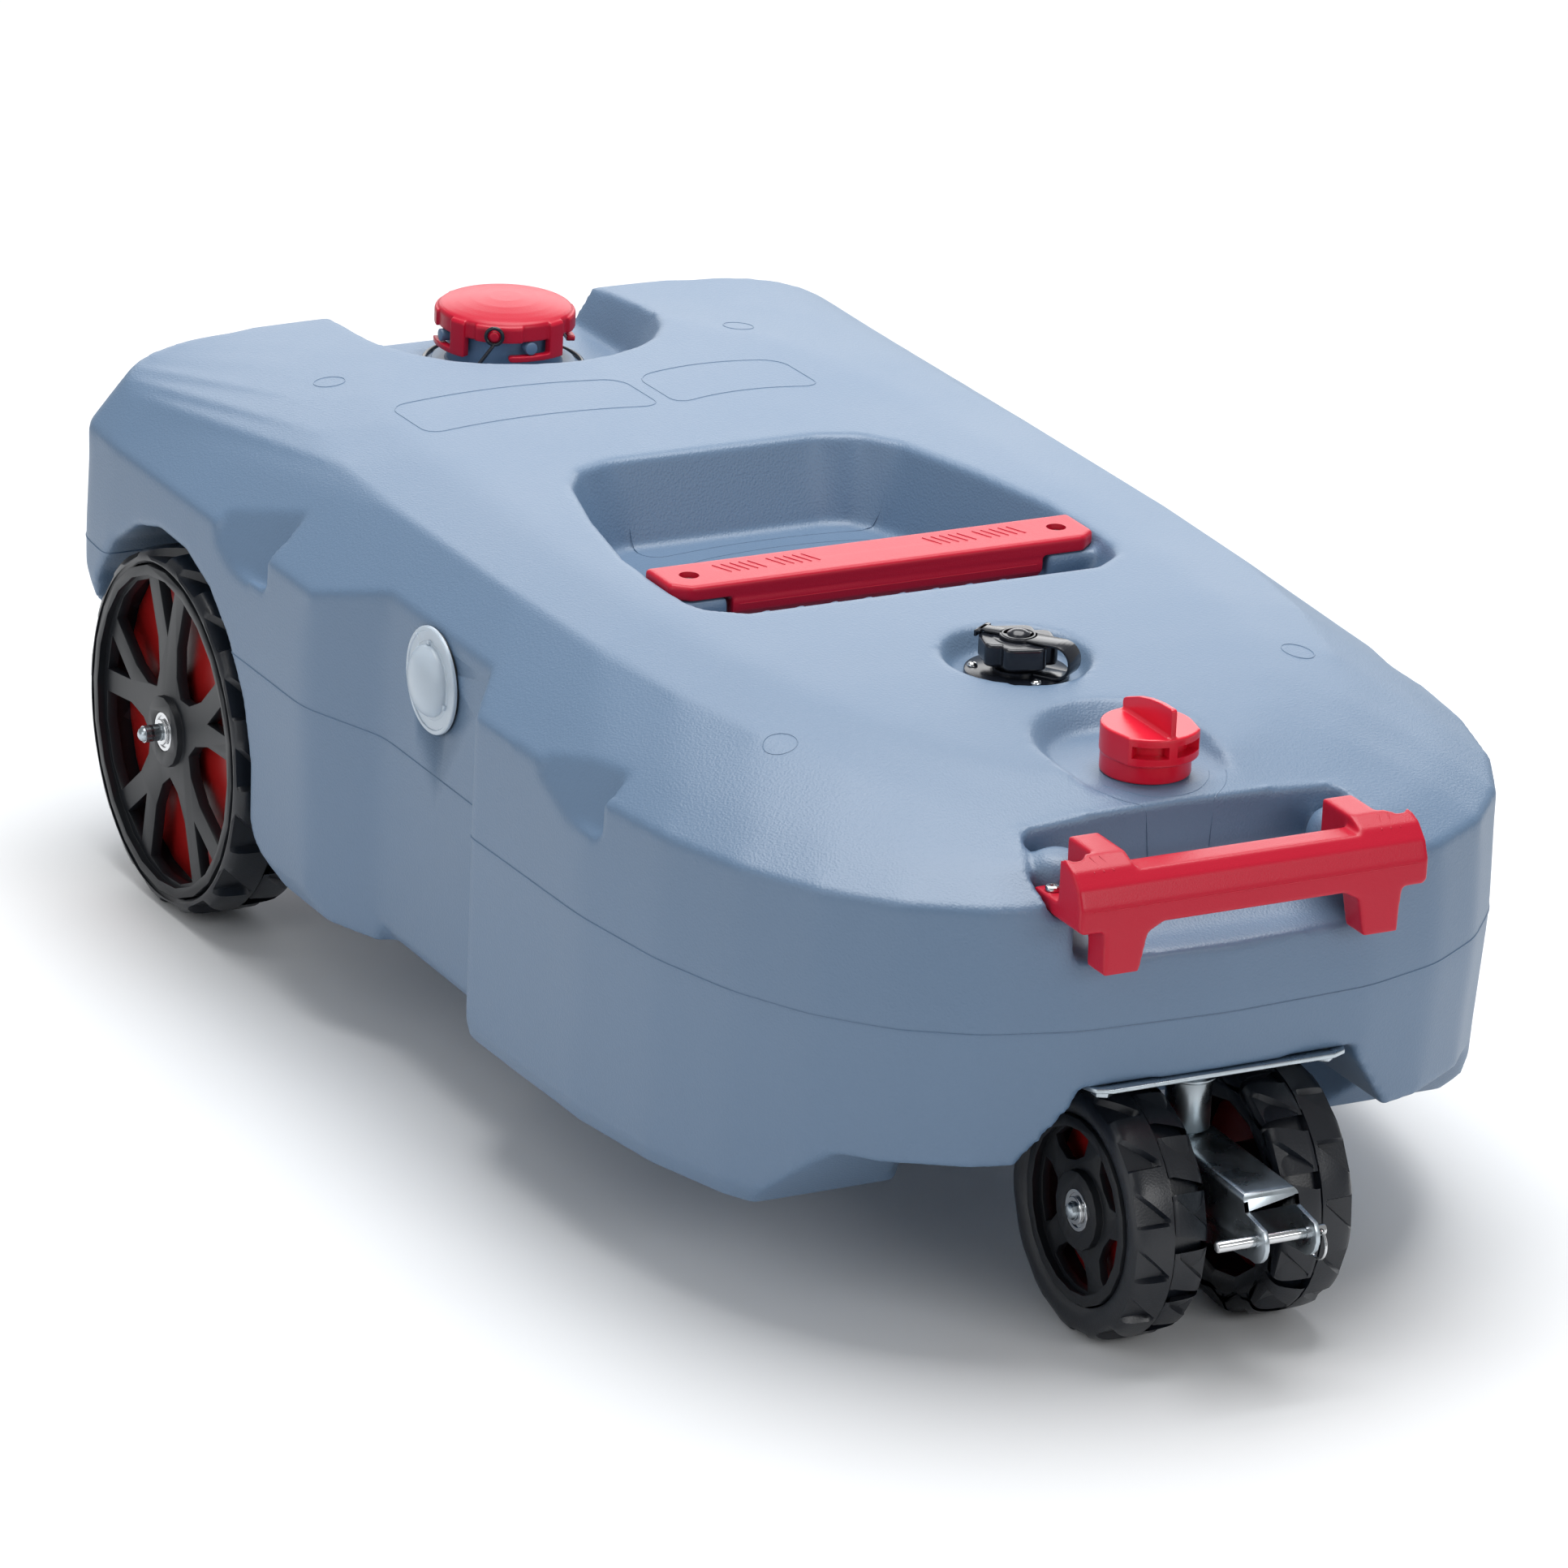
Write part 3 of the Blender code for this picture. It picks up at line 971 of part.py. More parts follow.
def make_caster():
    plate_top = PLATE_Z - SEAT_GAP
    plate_low = plate_top - PLATE_T
    plate = rounded_plate("caster_plate", (-PLATE_HALF, PLATE_FRONT_Y), (PLATE_HALF, PLATE_REAR_Y),
                          plate_low, plate_top, 0.014, "zinc")
    holes = [rod(f"plate_hole_{i}", BOLT_R + RUN_GAP, 0.15, 0.20, spot, segments=8)
             for i, spot in enumerate(plate_bolts())]
    boolean(plate, holes)
    pad_top = plate_low - SEAT_GAP
    pad_low = pad_top - PLATE_T
    pad = rounded_plate("caster_pad", (-0.060, CASTER_Y - 0.034), (0.060, CASTER_Y + 0.045), pad_low, pad_top,
                        0.012, "zinc")
    bolt_low = plate_low - SEAT_GAP - BOLT_HEAD_T
    for index, place_on_plate in enumerate(plate_bolts()):
        headed(f"caster_bolt_{index + 1}", place_on_plate, BOLT_HEAD_R, bolt_low, bolt_low + BOLT_HEAD_T,
               BOLT_R, bolt_low + 0.001, PLATE_BOLT_TIP_Z, "zinc", sides=6)
    spot = (0, CASTER_Y)
    washer_low = COLLAR_TOP_Z + SEAT_GAP
    washer_top = washer_low + WASHER_T
    web_low = CHANNEL_TOP_Z - CHANNEL_WEB_T
    nut_top = web_low - SEAT_GAP
    boolean(pad, [rod("pin_shoulder", PIN_SHOULDER_R, washer_top + SEAT_GAP, pad_low + 0.001, spot, segments=16),
                  rod("pin_shank", KINGPIN_R, nut_top - NUT_H - 0.002, pad_low + 0.001, spot, segments=16)], "UNION")
    pad.name = "kingpin_plate"

    def centred(name, profile, segments, finish):
        holder = make_empty(name + "_axis", (*spot, 0), ground)
        return turned(name, profile, segments, finish, holder)

    channel_top = CHANNEL_TOP_Z
    collar_low = channel_top + SEAT_GAP
    centred("caster_collar", ring_profile(KINGPIN_R + RUN_GAP, COLLAR_R, collar_low, COLLAR_TOP_Z), 16, "zinc")
    centred("thrust_washer", ring_profile(KINGPIN_R + RUN_GAP, COLLAR_R + 0.0035, washer_low, washer_top), 16, "zinc")
    nut = rod("kingpin_nut", NUT_R, nut_top - NUT_H, nut_top, spot, segments=6, finish="zinc")
    boolean(nut, [rod("nut_thread", KINGPIN_R + SEAT_GAP, 0.05, 0.20, spot, segments=16)])

    ear = arc((EAR_Y, EAR_Z), EAR_R, radians(135), radians(285), 6)
    rear = CASTER_Y + 0.023
    low = FRONT_TYRE_R - 0.015
    side_view = [(rear, low), (rear, channel_top), (-0.6165, channel_top - 0.0025), (-0.6205, 0.1175)]
    side_view += ear + [(-0.603, 0.0862), (-0.545, low + 0.002), (-0.530, low)]
    channel = prism("tow_channel", side_view, -CHANNEL_HALF, CHANNEL_HALF, axis="X", finish="zinc")
    inner = CHANNEL_HALF - CHANNEL_T
    cuts = [box("channel_inside", (-inner, -0.70, 0.0), (inner, -0.40, web_low)),
            rod("kingpin_hole", KINGPIN_R + RUN_GAP, 0.10, 0.20, spot, segments=16),
            rod("axle_hole", AXLE_R + RUN_GAP, -0.05, 0.05, (CASTER_Y, FRONT_TYRE_R), axis="X", segments=12),
            rod("pin_hole", PIN_R + RUN_GAP, -0.05, 0.05, (EAR_Y, EAR_Z), axis="X", segments=10)]
    boolean(channel, cuts)

    ring_x = PIN_RIGHT_X - 0.0045
    pin = rod("tow_pin", PIN_R, PIN_LEFT_X, PIN_RIGHT_X, (EAR_Y, EAR_Z), axis="X", segments=12, finish="steel")
    eye = rod("pin_eye", PIN_EYE_R, EAR_Y - 0.01, EAR_Y + 0.01, (ring_x, EAR_Z), axis="Y", segments=8)
    boolean(pin, [eye])
    steps = 14
    drop = RING_R - (PIN_EYE_R - RING_WIRE_R - SEAT_GAP)
    loop = [(ring_x, EAR_Y + RING_R * sin(tau * i / steps), EAR_Z - drop + RING_R * cos(tau * i / steps))
            for i in range(steps)]
    curve_piece("pin_ring", [loop], depth=RING_WIRE_R, resolution=1, finish="steel", closed=True)


# Sewer inlet with its bayonet cap

def sector(name, inner, outer, start, end, low, high, parent=None, steps=6):
    outline = arc((0, 0), outer, start, end, steps) + arc((0, 0), inner, end, start, steps)
    return prism(name, outline, low, high, parent=parent)


def make_inlet():
    holder = make_empty("inlet_axis", (0, INLET_Y, 0), ground)
    low = BAY_FLOOR_Z + SEAT_GAP
    step = low + NECK_FLANGE_T
    neck = turned("inlet_neck", [(NECK_BORE_R, NECK_TOP_Z), (NECK_R, NECK_TOP_Z), (NECK_R, step),
                  (NECK_FLANGE_R, step), (NECK_FLANGE_R, low), (NECK_BORE_R, low)], 20, "tank", holder)
    studs = []
    for i in range(STUDS):
        turn = Matrix.Rotation(STUD_PHASE + tau * i / STUDS, 4, "Z")
        studs.append(rod(f"stud_{i}", STUD_R, NECK_R - 0.002, STUD_TIP_R, (0, STUD_Z), axis="X", segments=8,
                         parent=holder, turn=turn))
    boolean(neck, studs, "UNION")

    gasket_low = NECK_TOP_Z + SEAT_GAP
    gasket_high = gasket_low + 0.002
    turned("inlet_gasket", ring_profile(NECK_BORE_R, NECK_R + 0.0015, gasket_low, gasket_high), 20, "rubber", holder)

    ceiling = gasket_high + SEAT_GAP
    skirt_low = STUD_Z + STUD_R + 0.0004
    profile = [(0, CAP_RIM_Z + CAP_DOME), (CAP_R * 0.6, CAP_RIM_Z + CAP_DOME * 0.75), (CAP_R, CAP_RIM_Z),
               (CAP_R, skirt_low), (CAP_SKIRT_R, skirt_low), (CAP_SKIRT_R, ceiling), (0, ceiling)]
    cap = turned("inlet_cap", profile, 24, "red", holder, closed=False)
    pieces = []
    hook_high = STUD_Z - STUD_R - 0.0004
    hook_low = hook_high - HOOK_T
    hook_inner = CAP_SKIRT_R - 0.0005
    hook_outer = CAP_R + 0.0025
    for i in range(STUDS):
        stud = STUD_PHASE + tau * i / STUDS
        arm = stud + HOOK_ARM_ANGLE
        pieces.append(sector(f"arm_{i}", hook_inner, hook_outer, arm - HOOK_ARM_HALF, arm + HOOK_ARM_HALF,
                             hook_low, CAP_RIM_Z - 0.002, holder, 1))
        pieces.append(sector(f"prong_{i}", hook_inner, hook_outer, stud - HOOK_TIP_ANGLE, arm,
                             hook_low, hook_high, holder, 2))
    for i in range(2):
        turn = Matrix.Rotation(KNOB_ANGLE + pi * i, 4, "Z")
        pieces.append(rod(f"knob_{i}", KNOB_R, CAP_R - 0.002, CAP_R + 0.0075, (0, KNOB_Z), axis="X",
                          segments=8, parent=holder, turn=turn))
    boolean(cap, pieces, "UNION")
    make_tether(holder)


KNOB_Z = 0.3665
LOOP_R = 0.0575
LOOP_Z = BAY_FLOOR_Z + SEAT_GAP + TETHER_R


def make_tether(holder):
    """Rubber keeper: a large loop round the neck, a strand and a small eye on the cap's knob."""
    steps = 16
    loop = [(LOOP_R * cos(tau * i / steps), LOOP_R * sin(tau * i / steps), LOOP_Z) for i in range(steps)]
    tether = curve_piece("cap_tether", [loop], depth=TETHER_R, resolution=1, finish="black", closed=True,
                         parent=holder)
    eye_r = KNOB_R + TETHER_R + 0.0006
    reach = CAP_R + 0.0052
    across = Vector((-sin(KNOB_ANGLE), cos(KNOB_ANGLE), 0))
    out = Vector((cos(KNOB_ANGLE), sin(KNOB_ANGLE), 0))
    centre = out * reach + Vector((0, 0, KNOB_Z))
    eye = [tuple(centre + across * eye_r * cos(tau * i / 8) + Vector((0, 0, eye_r * sin(tau * i / 8))))
           for i in range(8)]
    small = curve_piece("tether_eye", [eye], depth=TETHER_R, resolution=1, closed=True, parent=holder)
    start = centre - Vector((0, 0, eye_r))
    landing = Matrix.Rotation(radians(-22), 3, "Z") @ out * LOOP_R
    end = Vector((landing.x, landing.y, LOOP_Z))
    bow = Vector((0.006 * out.x, 0.006 * out.y, 0))
    strand = []
    count = 4
    for i in range(count + 1):
        t = i / count
        strand.append(tuple(start.lerp(end, t) + bow * sin(pi * t)))
    string = curve_piece("tether_strand", [strand], depth=TETHER_R * 0.93, resolution=1, parent=holder)
    boolean(tether, [small, string], "UNION")


# Vent cap

def visor_outline(shrink=0.0):
    """Plan of the vent cap's head: round, with a bulge over the air windows."""
    reach = VENT_VISOR_R - shrink
    round_r = VENT_CAP_R + 0.0008 - shrink
    blend = VENT_VISOR_HALF + acos(round_r / reach)
    return (arc((0, 0), reach, -VENT_VISOR_HALF, VENT_VISOR_HALF, 6)
            + arc((0, 0), round_r, blend, tau - blend, 12))


def make_vent():
    holder = make_empty("vent_axis", (0, VENT_Y, 0), ground, (0, 0, VENT_TURN))
    seal_low = VENT_NECK_Z + SEAT_GAP
    seal_high = seal_low + 0.0012
    turned("vent_seal", ring_profile(VENT_BORE_R, VENT_NECK_R - 0.0005, seal_low, seal_high), 16, "rubber", holder)
    ceiling = seal_high + SEAT_GAP
    low = VENT_FLOOR_Z + 0.0008
    inside = VENT_VISOR_LOW_Z + 0.003
    cap = turned("vent_cap", [(0, inside), (VENT_CAP_R, inside), (VENT_CAP_R, low), (0, low)], 20, "red", holder,
                 closed=False)
    fin_outline = [(-0.0285, VENT_CAP_Z - 0.004), (0.0325, VENT_CAP_Z - 0.004), (0.0325, VENT_FIN_Z - 0.002),
                   (0.0305, VENT_FIN_Z), (0.015, VENT_FIN_Z - 0.0006), (0.003, VENT_FIN_Z - 0.0022),
                   (-0.010, VENT_FIN_Z - 0.0052), (-0.027, VENT_FIN_Z - 0.0110), (-0.0300, VENT_FIN_Z - 0.0130)]
    head = [prism("vent_visor", visor_outline(), VENT_VISOR_LOW_Z, VENT_CAP_Z, parent=holder,
                  top=visor_outline(0.0015)),
            prism("vent_fin", fin_outline, -0.0021, 0.0021, axis="Y", parent=holder)]
    boolean(cap, head, "UNION")
    hollow = [rod("vent_hollow", VENT_NECK_R + 0.0008, low - 0.02, ceiling, segments=20, parent=holder)]
    hollow += [sector(f"vent_window_{side}", VENT_VISOR_R - VENT_VISOR_T - 0.0055, 0.045,
                      min(side * VENT_WINDOW_FROM, side * VENT_WINDOW_TO),
                      max(side * VENT_WINDOW_FROM, side * VENT_WINDOW_TO), VENT_WINDOW_LOW_Z, VENT_WINDOW_HIGH_Z,
                      holder, 4) for side in (-1, 1)]
    boolean(cap, hollow)


# Rinse port

def make_rinse_port():
    holder = make_empty("rinse_axis", (0, RINSE_Y, 0), ground)
    low = RINSE_FLOOR_Z + SEAT_GAP
    high = low + RINSE_FLANGE_T
    neck_top = low + RINSE_NECK_H
    spigot = RINSE_FLOOR_Z - WALL - 0.002
    flange = turned("rinse_flange", [(RINSE_BORE_R, neck_top), (RINSE_NECK_R, neck_top), (RINSE_NECK_R, high),
                    (RINSE_FLANGE_R, high), (RINSE_FLANGE_R, low), (RINSE_NECK_R, low), (RINSE_NECK_R, spigot),
                    (RINSE_BORE_R, spigot)], 16, "black", holder)
    screw_r = RINSE_FLANGE_R - 0.0055
    spots = [(screw_r * cos(radians(a)), RINSE_Y + screw_r * sin(radians(a))) for a in (-93.5, 26.5, 146.5)]
    for index, spot in enumerate(spots):
        headed(f"rinse_screw_{index + 1}", spot, 0.0036, high + SEAT_GAP, high + 0.0025, 0.0016, low - 0.0035,
               high + 0.001, "steel", sides=8)
    boolean(flange, [rod(f"rinse_screw_hole_{i}", 0.002, RINSE_FLOOR_Z - 0.01, RINSE_FLOOR_Z + 0.02, spot, segments=6)
                     for i, spot in enumerate(spots)])
    pilots = [rod(f"rinse_pilot_{i}", 0.002, low - 0.0035 - SEAT_GAP, RINSE_FLOOR_Z + 0.02, spot, segments=6)
              for i, spot in enumerate(spots)]
    boolean(bpy.data.objects["tank_shell"], pilots)

    cap_low = high + 0.0035
    cap_top = RINSE_FLOOR_Z + RINSE_CAP_H
    ceiling = neck_top + SEAT_GAP
    cap = turned("rinse_cap", [(0, cap_top), (RINSE_CAP_CORE_R, cap_top), (RINSE_CAP_CORE_R, cap_low), (0, cap_low)],
                 16, "black", holder, closed=False)
    reach, half, corner = RINSE_CAP_R, RINSE_ARM_HALF, RINSE_ARM_CORNER
    arm_outline = [(reach, -half + corner), (reach, half - corner), (reach - corner, half), (corner - reach, half),
                   (-reach, half - corner), (-reach, corner - half), (corner - reach, -half), (reach - corner, -half)]
    arms = []
    for i in range(2):
        arm = prism(f"rinse_arm_{i}", arm_outline, cap_low + 0.003, cap_top - 0.0004, parent=holder)
        arm.rotation_euler.z = RINSE_ARM_TURN + i * pi / 2
        arms.append(arm)
    boolean(cap, arms, "UNION")
    boolean(cap, [rod("rinse_cap_hollow", RINSE_NECK_R + 0.0007, cap_low - 0.01, ceiling, segments=16, parent=holder)])

    strap_low = cap_top + SEAT_GAP
    strap_high = strap_low + STRAP_T
    strap = turned("rinse_strap", [(0, strap_low + 0.0052), (0.005, strap_low + 0.0044), (0.0085, strap_high),
                   (STRAP_DISC_R, strap_high), (STRAP_DISC_R, strap_low), (0, strap_low)], 16, "black", holder,
                   closed=False)
    foot_low = high + SEAT_GAP
    bend_r = (strap_high - foot_low) / 2
    bend = (STRAP_BEND_R, foot_low + bend_r)
    collar_r = RINSE_NECK_R + 0.0045
    side_view = ([(0.006, strap_high)] + arc(bend, bend_r, pi / 2, -pi / 2, 6)
                 + [(collar_r - 0.001, foot_low), (collar_r - 0.001, foot_low + STRAP_T)]
                 + arc(bend, bend_r - STRAP_T, -pi / 2, pi / 2, 6) + [(0.006, strap_low)])
    grip_r = hypot(RINSE_CAP_R, RINSE_ARM_HALF - RINSE_ARM_CORNER) + RUN_GAP
    lip = [(-0.006, strap_low), (-0.006, strap_high), (-grip_r - STRAP_T, strap_high),
           (-grip_r - STRAP_T, strap_low - STRAP_LIP), (-grip_r, strap_low - STRAP_LIP), (-grip_r, strap_low)]
    bar = [(-grip_r + 0.0025, strap_low), (-grip_r + 0.0025, strap_high), *lip[2:5], (-grip_r, strap_low)]
    parts = [prism("strap_tail", side_view, -STRAP_HALF, STRAP_HALF, axis="Y", parent=holder),
             prism("strap_arm", lip, -STRAP_NECK_HALF, STRAP_NECK_HALF, axis="Y", parent=holder),
             prism("strap_bar", bar, -STRAP_HALF, STRAP_HALF, axis="Y", parent=holder)]
    for piece in parts:
        piece.rotation_euler.z = STRAP_ANGLE
    collar = turned("strap_collar", ring_profile(RINSE_NECK_R + 0.0008, collar_r, foot_low, foot_low + STRAP_T), 12,
                    None, holder)
    boolean(strap, [*parts, collar], "UNION")


# Level window

def make_level_window():
    holder = make_empty("window_axis", (-WAIST_X, WINDOW_Y, WINDOW_Z), ground, (0, -pi / 2, 0))
    gasket_t = 0.0012
    turned("window_gasket", ring_profile(WINDOW_HOLE_R + 0.0005, WINDOW_R - 0.001, SEAT_GAP, SEAT_GAP + gasket_t), 16,
           "rubber", holder)
    base = gasket_t + 2 * SEAT_GAP
    flange_t = 0.0026
    dome_r = WINDOW_HOLE_R - 0.001
    wall = 0.0022
    steps = 3
    outer = [(dome_r * sin(pi / 2 * i / steps), base + flange_t + (WINDOW_DOME - flange_t) * cos(pi / 2 * i / steps))
             for i in range(steps + 1)]
    inner_r = dome_r - wall
    inner_h = WINDOW_DOME - wall
    inner = [(inner_r * sin(pi / 2 * i / steps), base + inner_h * cos(pi / 2 * i / steps))
             for i in range(steps, -1, -1)]
    outer[0] = (0, outer[0][1])
    profile = outer + [(WINDOW_R, base + flange_t), (WINDOW_R, base)] + inner
    turned("level_window", profile, 16, "clear", holder, closed=False)


clear_scene()
parts = make_collection("waste_water_tank")
cutters = make_collection("cutters")
materials = {name: make_material(name) for name in COLOURS}
ground = make_empty("ground", (0, ORIGIN_Y, 0))
make_tank()
make_top_handle()
make_front_handle()
make_rear_wheels()
make_front_wheels()
make_caster()
make_inlet()
make_vent()
make_rinse_port()
make_level_window()
bpy.context.view_layer.update()
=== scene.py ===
"""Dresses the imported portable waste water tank: moulded skins, treaded tyres, zinc metal and a studio."""
import math

import bmesh
import bpy
from bpy.props import FloatProperty, FloatVectorProperty, IntProperty, PointerProperty
from mathutils import Matrix, Vector
from mathutils.bvhtree import BVHTree
from mathutils.kdtree import KDTree


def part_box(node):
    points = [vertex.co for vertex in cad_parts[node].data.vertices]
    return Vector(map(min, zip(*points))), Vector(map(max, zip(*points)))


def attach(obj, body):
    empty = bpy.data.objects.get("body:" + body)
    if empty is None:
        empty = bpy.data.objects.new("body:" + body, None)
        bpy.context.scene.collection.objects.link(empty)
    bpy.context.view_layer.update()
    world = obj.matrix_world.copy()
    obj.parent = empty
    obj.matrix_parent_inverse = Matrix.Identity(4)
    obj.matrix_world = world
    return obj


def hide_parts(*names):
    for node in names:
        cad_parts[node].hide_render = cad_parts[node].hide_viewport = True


bl_info = {
    "name": "Portable waste water tank",
    "version": (1, 0, 0),
    "blender": (4, 5, 0),
    "location": "3D View > Sidebar > Tank",
    "description": "Dresses the packed tank with moulded plastic, rubber and zinc finishes",
    "category": "Object",
}

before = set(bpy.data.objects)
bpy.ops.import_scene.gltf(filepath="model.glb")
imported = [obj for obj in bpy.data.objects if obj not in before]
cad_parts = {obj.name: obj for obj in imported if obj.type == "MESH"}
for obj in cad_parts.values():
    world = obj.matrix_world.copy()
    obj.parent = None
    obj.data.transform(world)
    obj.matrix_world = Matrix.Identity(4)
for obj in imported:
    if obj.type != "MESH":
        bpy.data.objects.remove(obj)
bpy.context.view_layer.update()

SIDES = {"left": -1, "right": 1}
TURN = {
    "X": Matrix.Rotation(math.pi / 2, 4, "Y"),
    "Y": Matrix.Rotation(-math.pi / 2, 4, "X"),
    "Z": Matrix.Identity(4),
}


def middle(node):
    """The middle of a CAD node's box."""
    low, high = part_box(node)
    return (low + high) / 2


# Places and sizes that every operator reads from the frame
INLET = middle("inlet_neck")
VENT = middle("vent_seal")
RINSE = middle("rinse_flange")
WINDOW = middle("level_window")
TOP_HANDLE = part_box("top_handle")
FRONT_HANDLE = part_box("front_handle")
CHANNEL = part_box("tow_channel")
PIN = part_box("tow_pin")


# Settings a user would change

def length(name, description, default, low=0.0, high=0.1):
    """A setting in metres."""
    return FloatProperty(name=name, description=description, default=default, min=low, max=high,
                         unit="LENGTH", precision=4)


def colour(name, description, default):
    """A colour setting, in linear red, green and blue."""
    return FloatVectorProperty(name=name, description=description, default=default, size=3,
                               min=0.0, max=1.0, subtype="COLOR")


def power(name, description, default):
    """A lamp's power in watts."""
    return FloatProperty(name=name, description=description, default=default, unit="POWER")


class MouldSettings(bpy.types.PropertyGroup):
    """The blow-moulded tank's skin."""
    skin_cell: length("Skin cell", "Size of the cells the tank skin is rebuilt from", 0.0033, 0.002)
    faces: IntProperty(name="Skin faces", description="Most triangles the outside of the skin may have",
                       default=180000, min=20000, max=190000)
    soften: IntProperty(name="Edge softening", description="Smoothing passes over the moulded edges",
                        default=5, min=0, max=40)
    flow: IntProperty(name="Surface flow", description="Smoothing passes over the broad faces",
                      default=80, min=0, max=200)
    plastic: colour("Tank plastic", "Colour of the tank and the sewer neck", (0.108, 0.180, 0.285))
    grain_size: FloatProperty(name="Grain size", description="Grains per metre", default=620.0, min=10.0)
    grain_depth: length("Grain depth", "Height of the leather grain", 0.00016, 0.0, 0.002)
    seam_line: length("Seam line", "Radius of the line where the mould's halves met", 0.0006, 0.0, 0.003)


class RedSettings(bpy.types.PropertyGroup):
    """The red moulded fittings."""
    handle: colour("Handle red", "Colour of both handles and the inlet cap", (0.50, 0.0040, 0.026))
    cap: colour("Vent red", "Colour of the vent cap", (0.68, 0.006, 0.030))
    cell: length("Moulding cell", "Size of the cells the handles are rebuilt from", 0.0012, 0.0005)
    rib_width: length("Rib width", "Width of the slanted ribs", 0.0013)
    rib_height: length("Rib height", "How far the ribs stand out", 0.0005)


class WheelSettings(bpy.types.PropertyGroup):
    """Tyres, rims and discs."""
    rear_lugs: IntProperty(name="Rear lugs", description="Lugs down each side of a rear tyre", default=16,
                           min=6)
    front_lugs: IntProperty(name="Front lugs", description="Lugs down each side of a front tyre", default=14,
                            min=6)
    rear_groove: length("Rear groove", "Depth of the rear tread", 0.0062)
    front_groove: length("Front groove", "Depth of the front tread", 0.0050)
    rubber: colour("Rubber", "Colour of the tyres", (0.0060, 0.0080, 0.0125))
    rim: colour("Rim", "Colour of the rims", (0.010, 0.0115, 0.0145))
    disc: colour("Disc", "Colour of the discs behind the spokes", (0.33, 0.008, 0.008))


class MetalSettings(bpy.types.PropertyGroup):
    """Zinc plate and steel."""
    zinc: colour("Zinc", "Colour of the plated parts", (0.50, 0.56, 0.60))
    steel: colour("Steel", "Colour of the bright parts", (0.68, 0.69, 0.70))
    edge: length("Edge rounding", "Width of the rounded metal edges", 0.0006)


class FittingSettings(bpy.types.PropertyGroup):
    """Black fittings and the level window."""
    black: colour("Fitting black", "Colour of the rinse port and the tether", (0.010, 0.012, 0.018))
    seal: colour("Seal", "Colour of the gaskets", (0.020, 0.022, 0.025))
    window: colour("Window", "Colour of the frosted level window", (0.72, 0.82, 0.92))


class StageSettings(bpy.types.PropertyGroup):
    """Floor, lights and camera."""
    floor: colour("Floor", "Colour of the floor", (0.86, 0.87, 0.88))
    top_light: power("Top light", "Power of the light over the deck", 105.0)
    side_light: power("Side light", "Power of the light from the left", 9.0)
    front_light: power("Front light", "Power of the light at the tow end", 18.0)
    back_light: power("Back light", "Power of the wide light beyond the tank", 90.0)
    strip_light: power("Strip light", "Power of the narrow light from the left", 8.0)
    sky: FloatProperty(name="Sky", description="Strength of the even light all round", default=0.36, min=0.0)
    lens: FloatProperty(name="Lens", description="Focal length of the camera in millimetres", default=210.0,
                        min=10.0)


GROUPS = {
    "mould_settings": MouldSettings,
    "red_settings": RedSettings,
    "wheel_settings": WheelSettings,
    "metal_settings": MetalSettings,
    "fitting_settings": FittingSettings,
    "stage_settings": StageSettings,
}


def settings(name):
    """One of the scene's groups of settings."""
    return getattr(bpy.context.scene, name)


# Shader node groups and materials

def add_node(tree, kind, feeds=None, **values):
    """A new node with its values set, and its sockets fed from others' outputs."""
    made = tree.nodes.new(kind)
    for name, value in values.items():
        if isinstance(value, dict):
            for key, number in value.items():
                made.inputs[key].default_value = number
        else:
            setattr(made, name, value)
    for socket, source in (feeds or {}).items():
        tree.links.new(source, made.inputs[socket])
    return made


def new_group(name, inputs, outputs):
    """An empty shader node group with its sockets; inputs are (name, kind, default)."""
    group = bpy.data.node_groups.new(name, "ShaderNodeTree")
    for socket, kind, default in inputs:
        made = group.interface.new_socket(socket, in_out="INPUT", socket_type=kind)
        if default is not None:
            made.default_value = default
    for socket, kind in outputs:
        group.interface.new_socket(socket, in_out="OUTPUT", socket_type=kind)
    return group, group.nodes.new("NodeGroupInput"), group.nodes.new("NodeGroupOutput")


def gloss_range(ins, texture):
    """What feeds the map from a texture to the roughness."""
    return {"Value": texture.outputs["Fac"], "To Min": ins.outputs["Gloss Low"],
            "To Max": ins.outputs["Gloss High"]}


def put_out(group, outs, tinted, gloss, bump):
    """Joins a finish's colour, roughness and normal to its group's outputs."""
    group.links.new(tinted.outputs[0], outs.inputs["Colour"])
    group.links.new(gloss.outputs["Result"], outs.inputs["Roughness"])
    group.links.new(bump.outputs["Normal"], outs.inputs["Normal"])


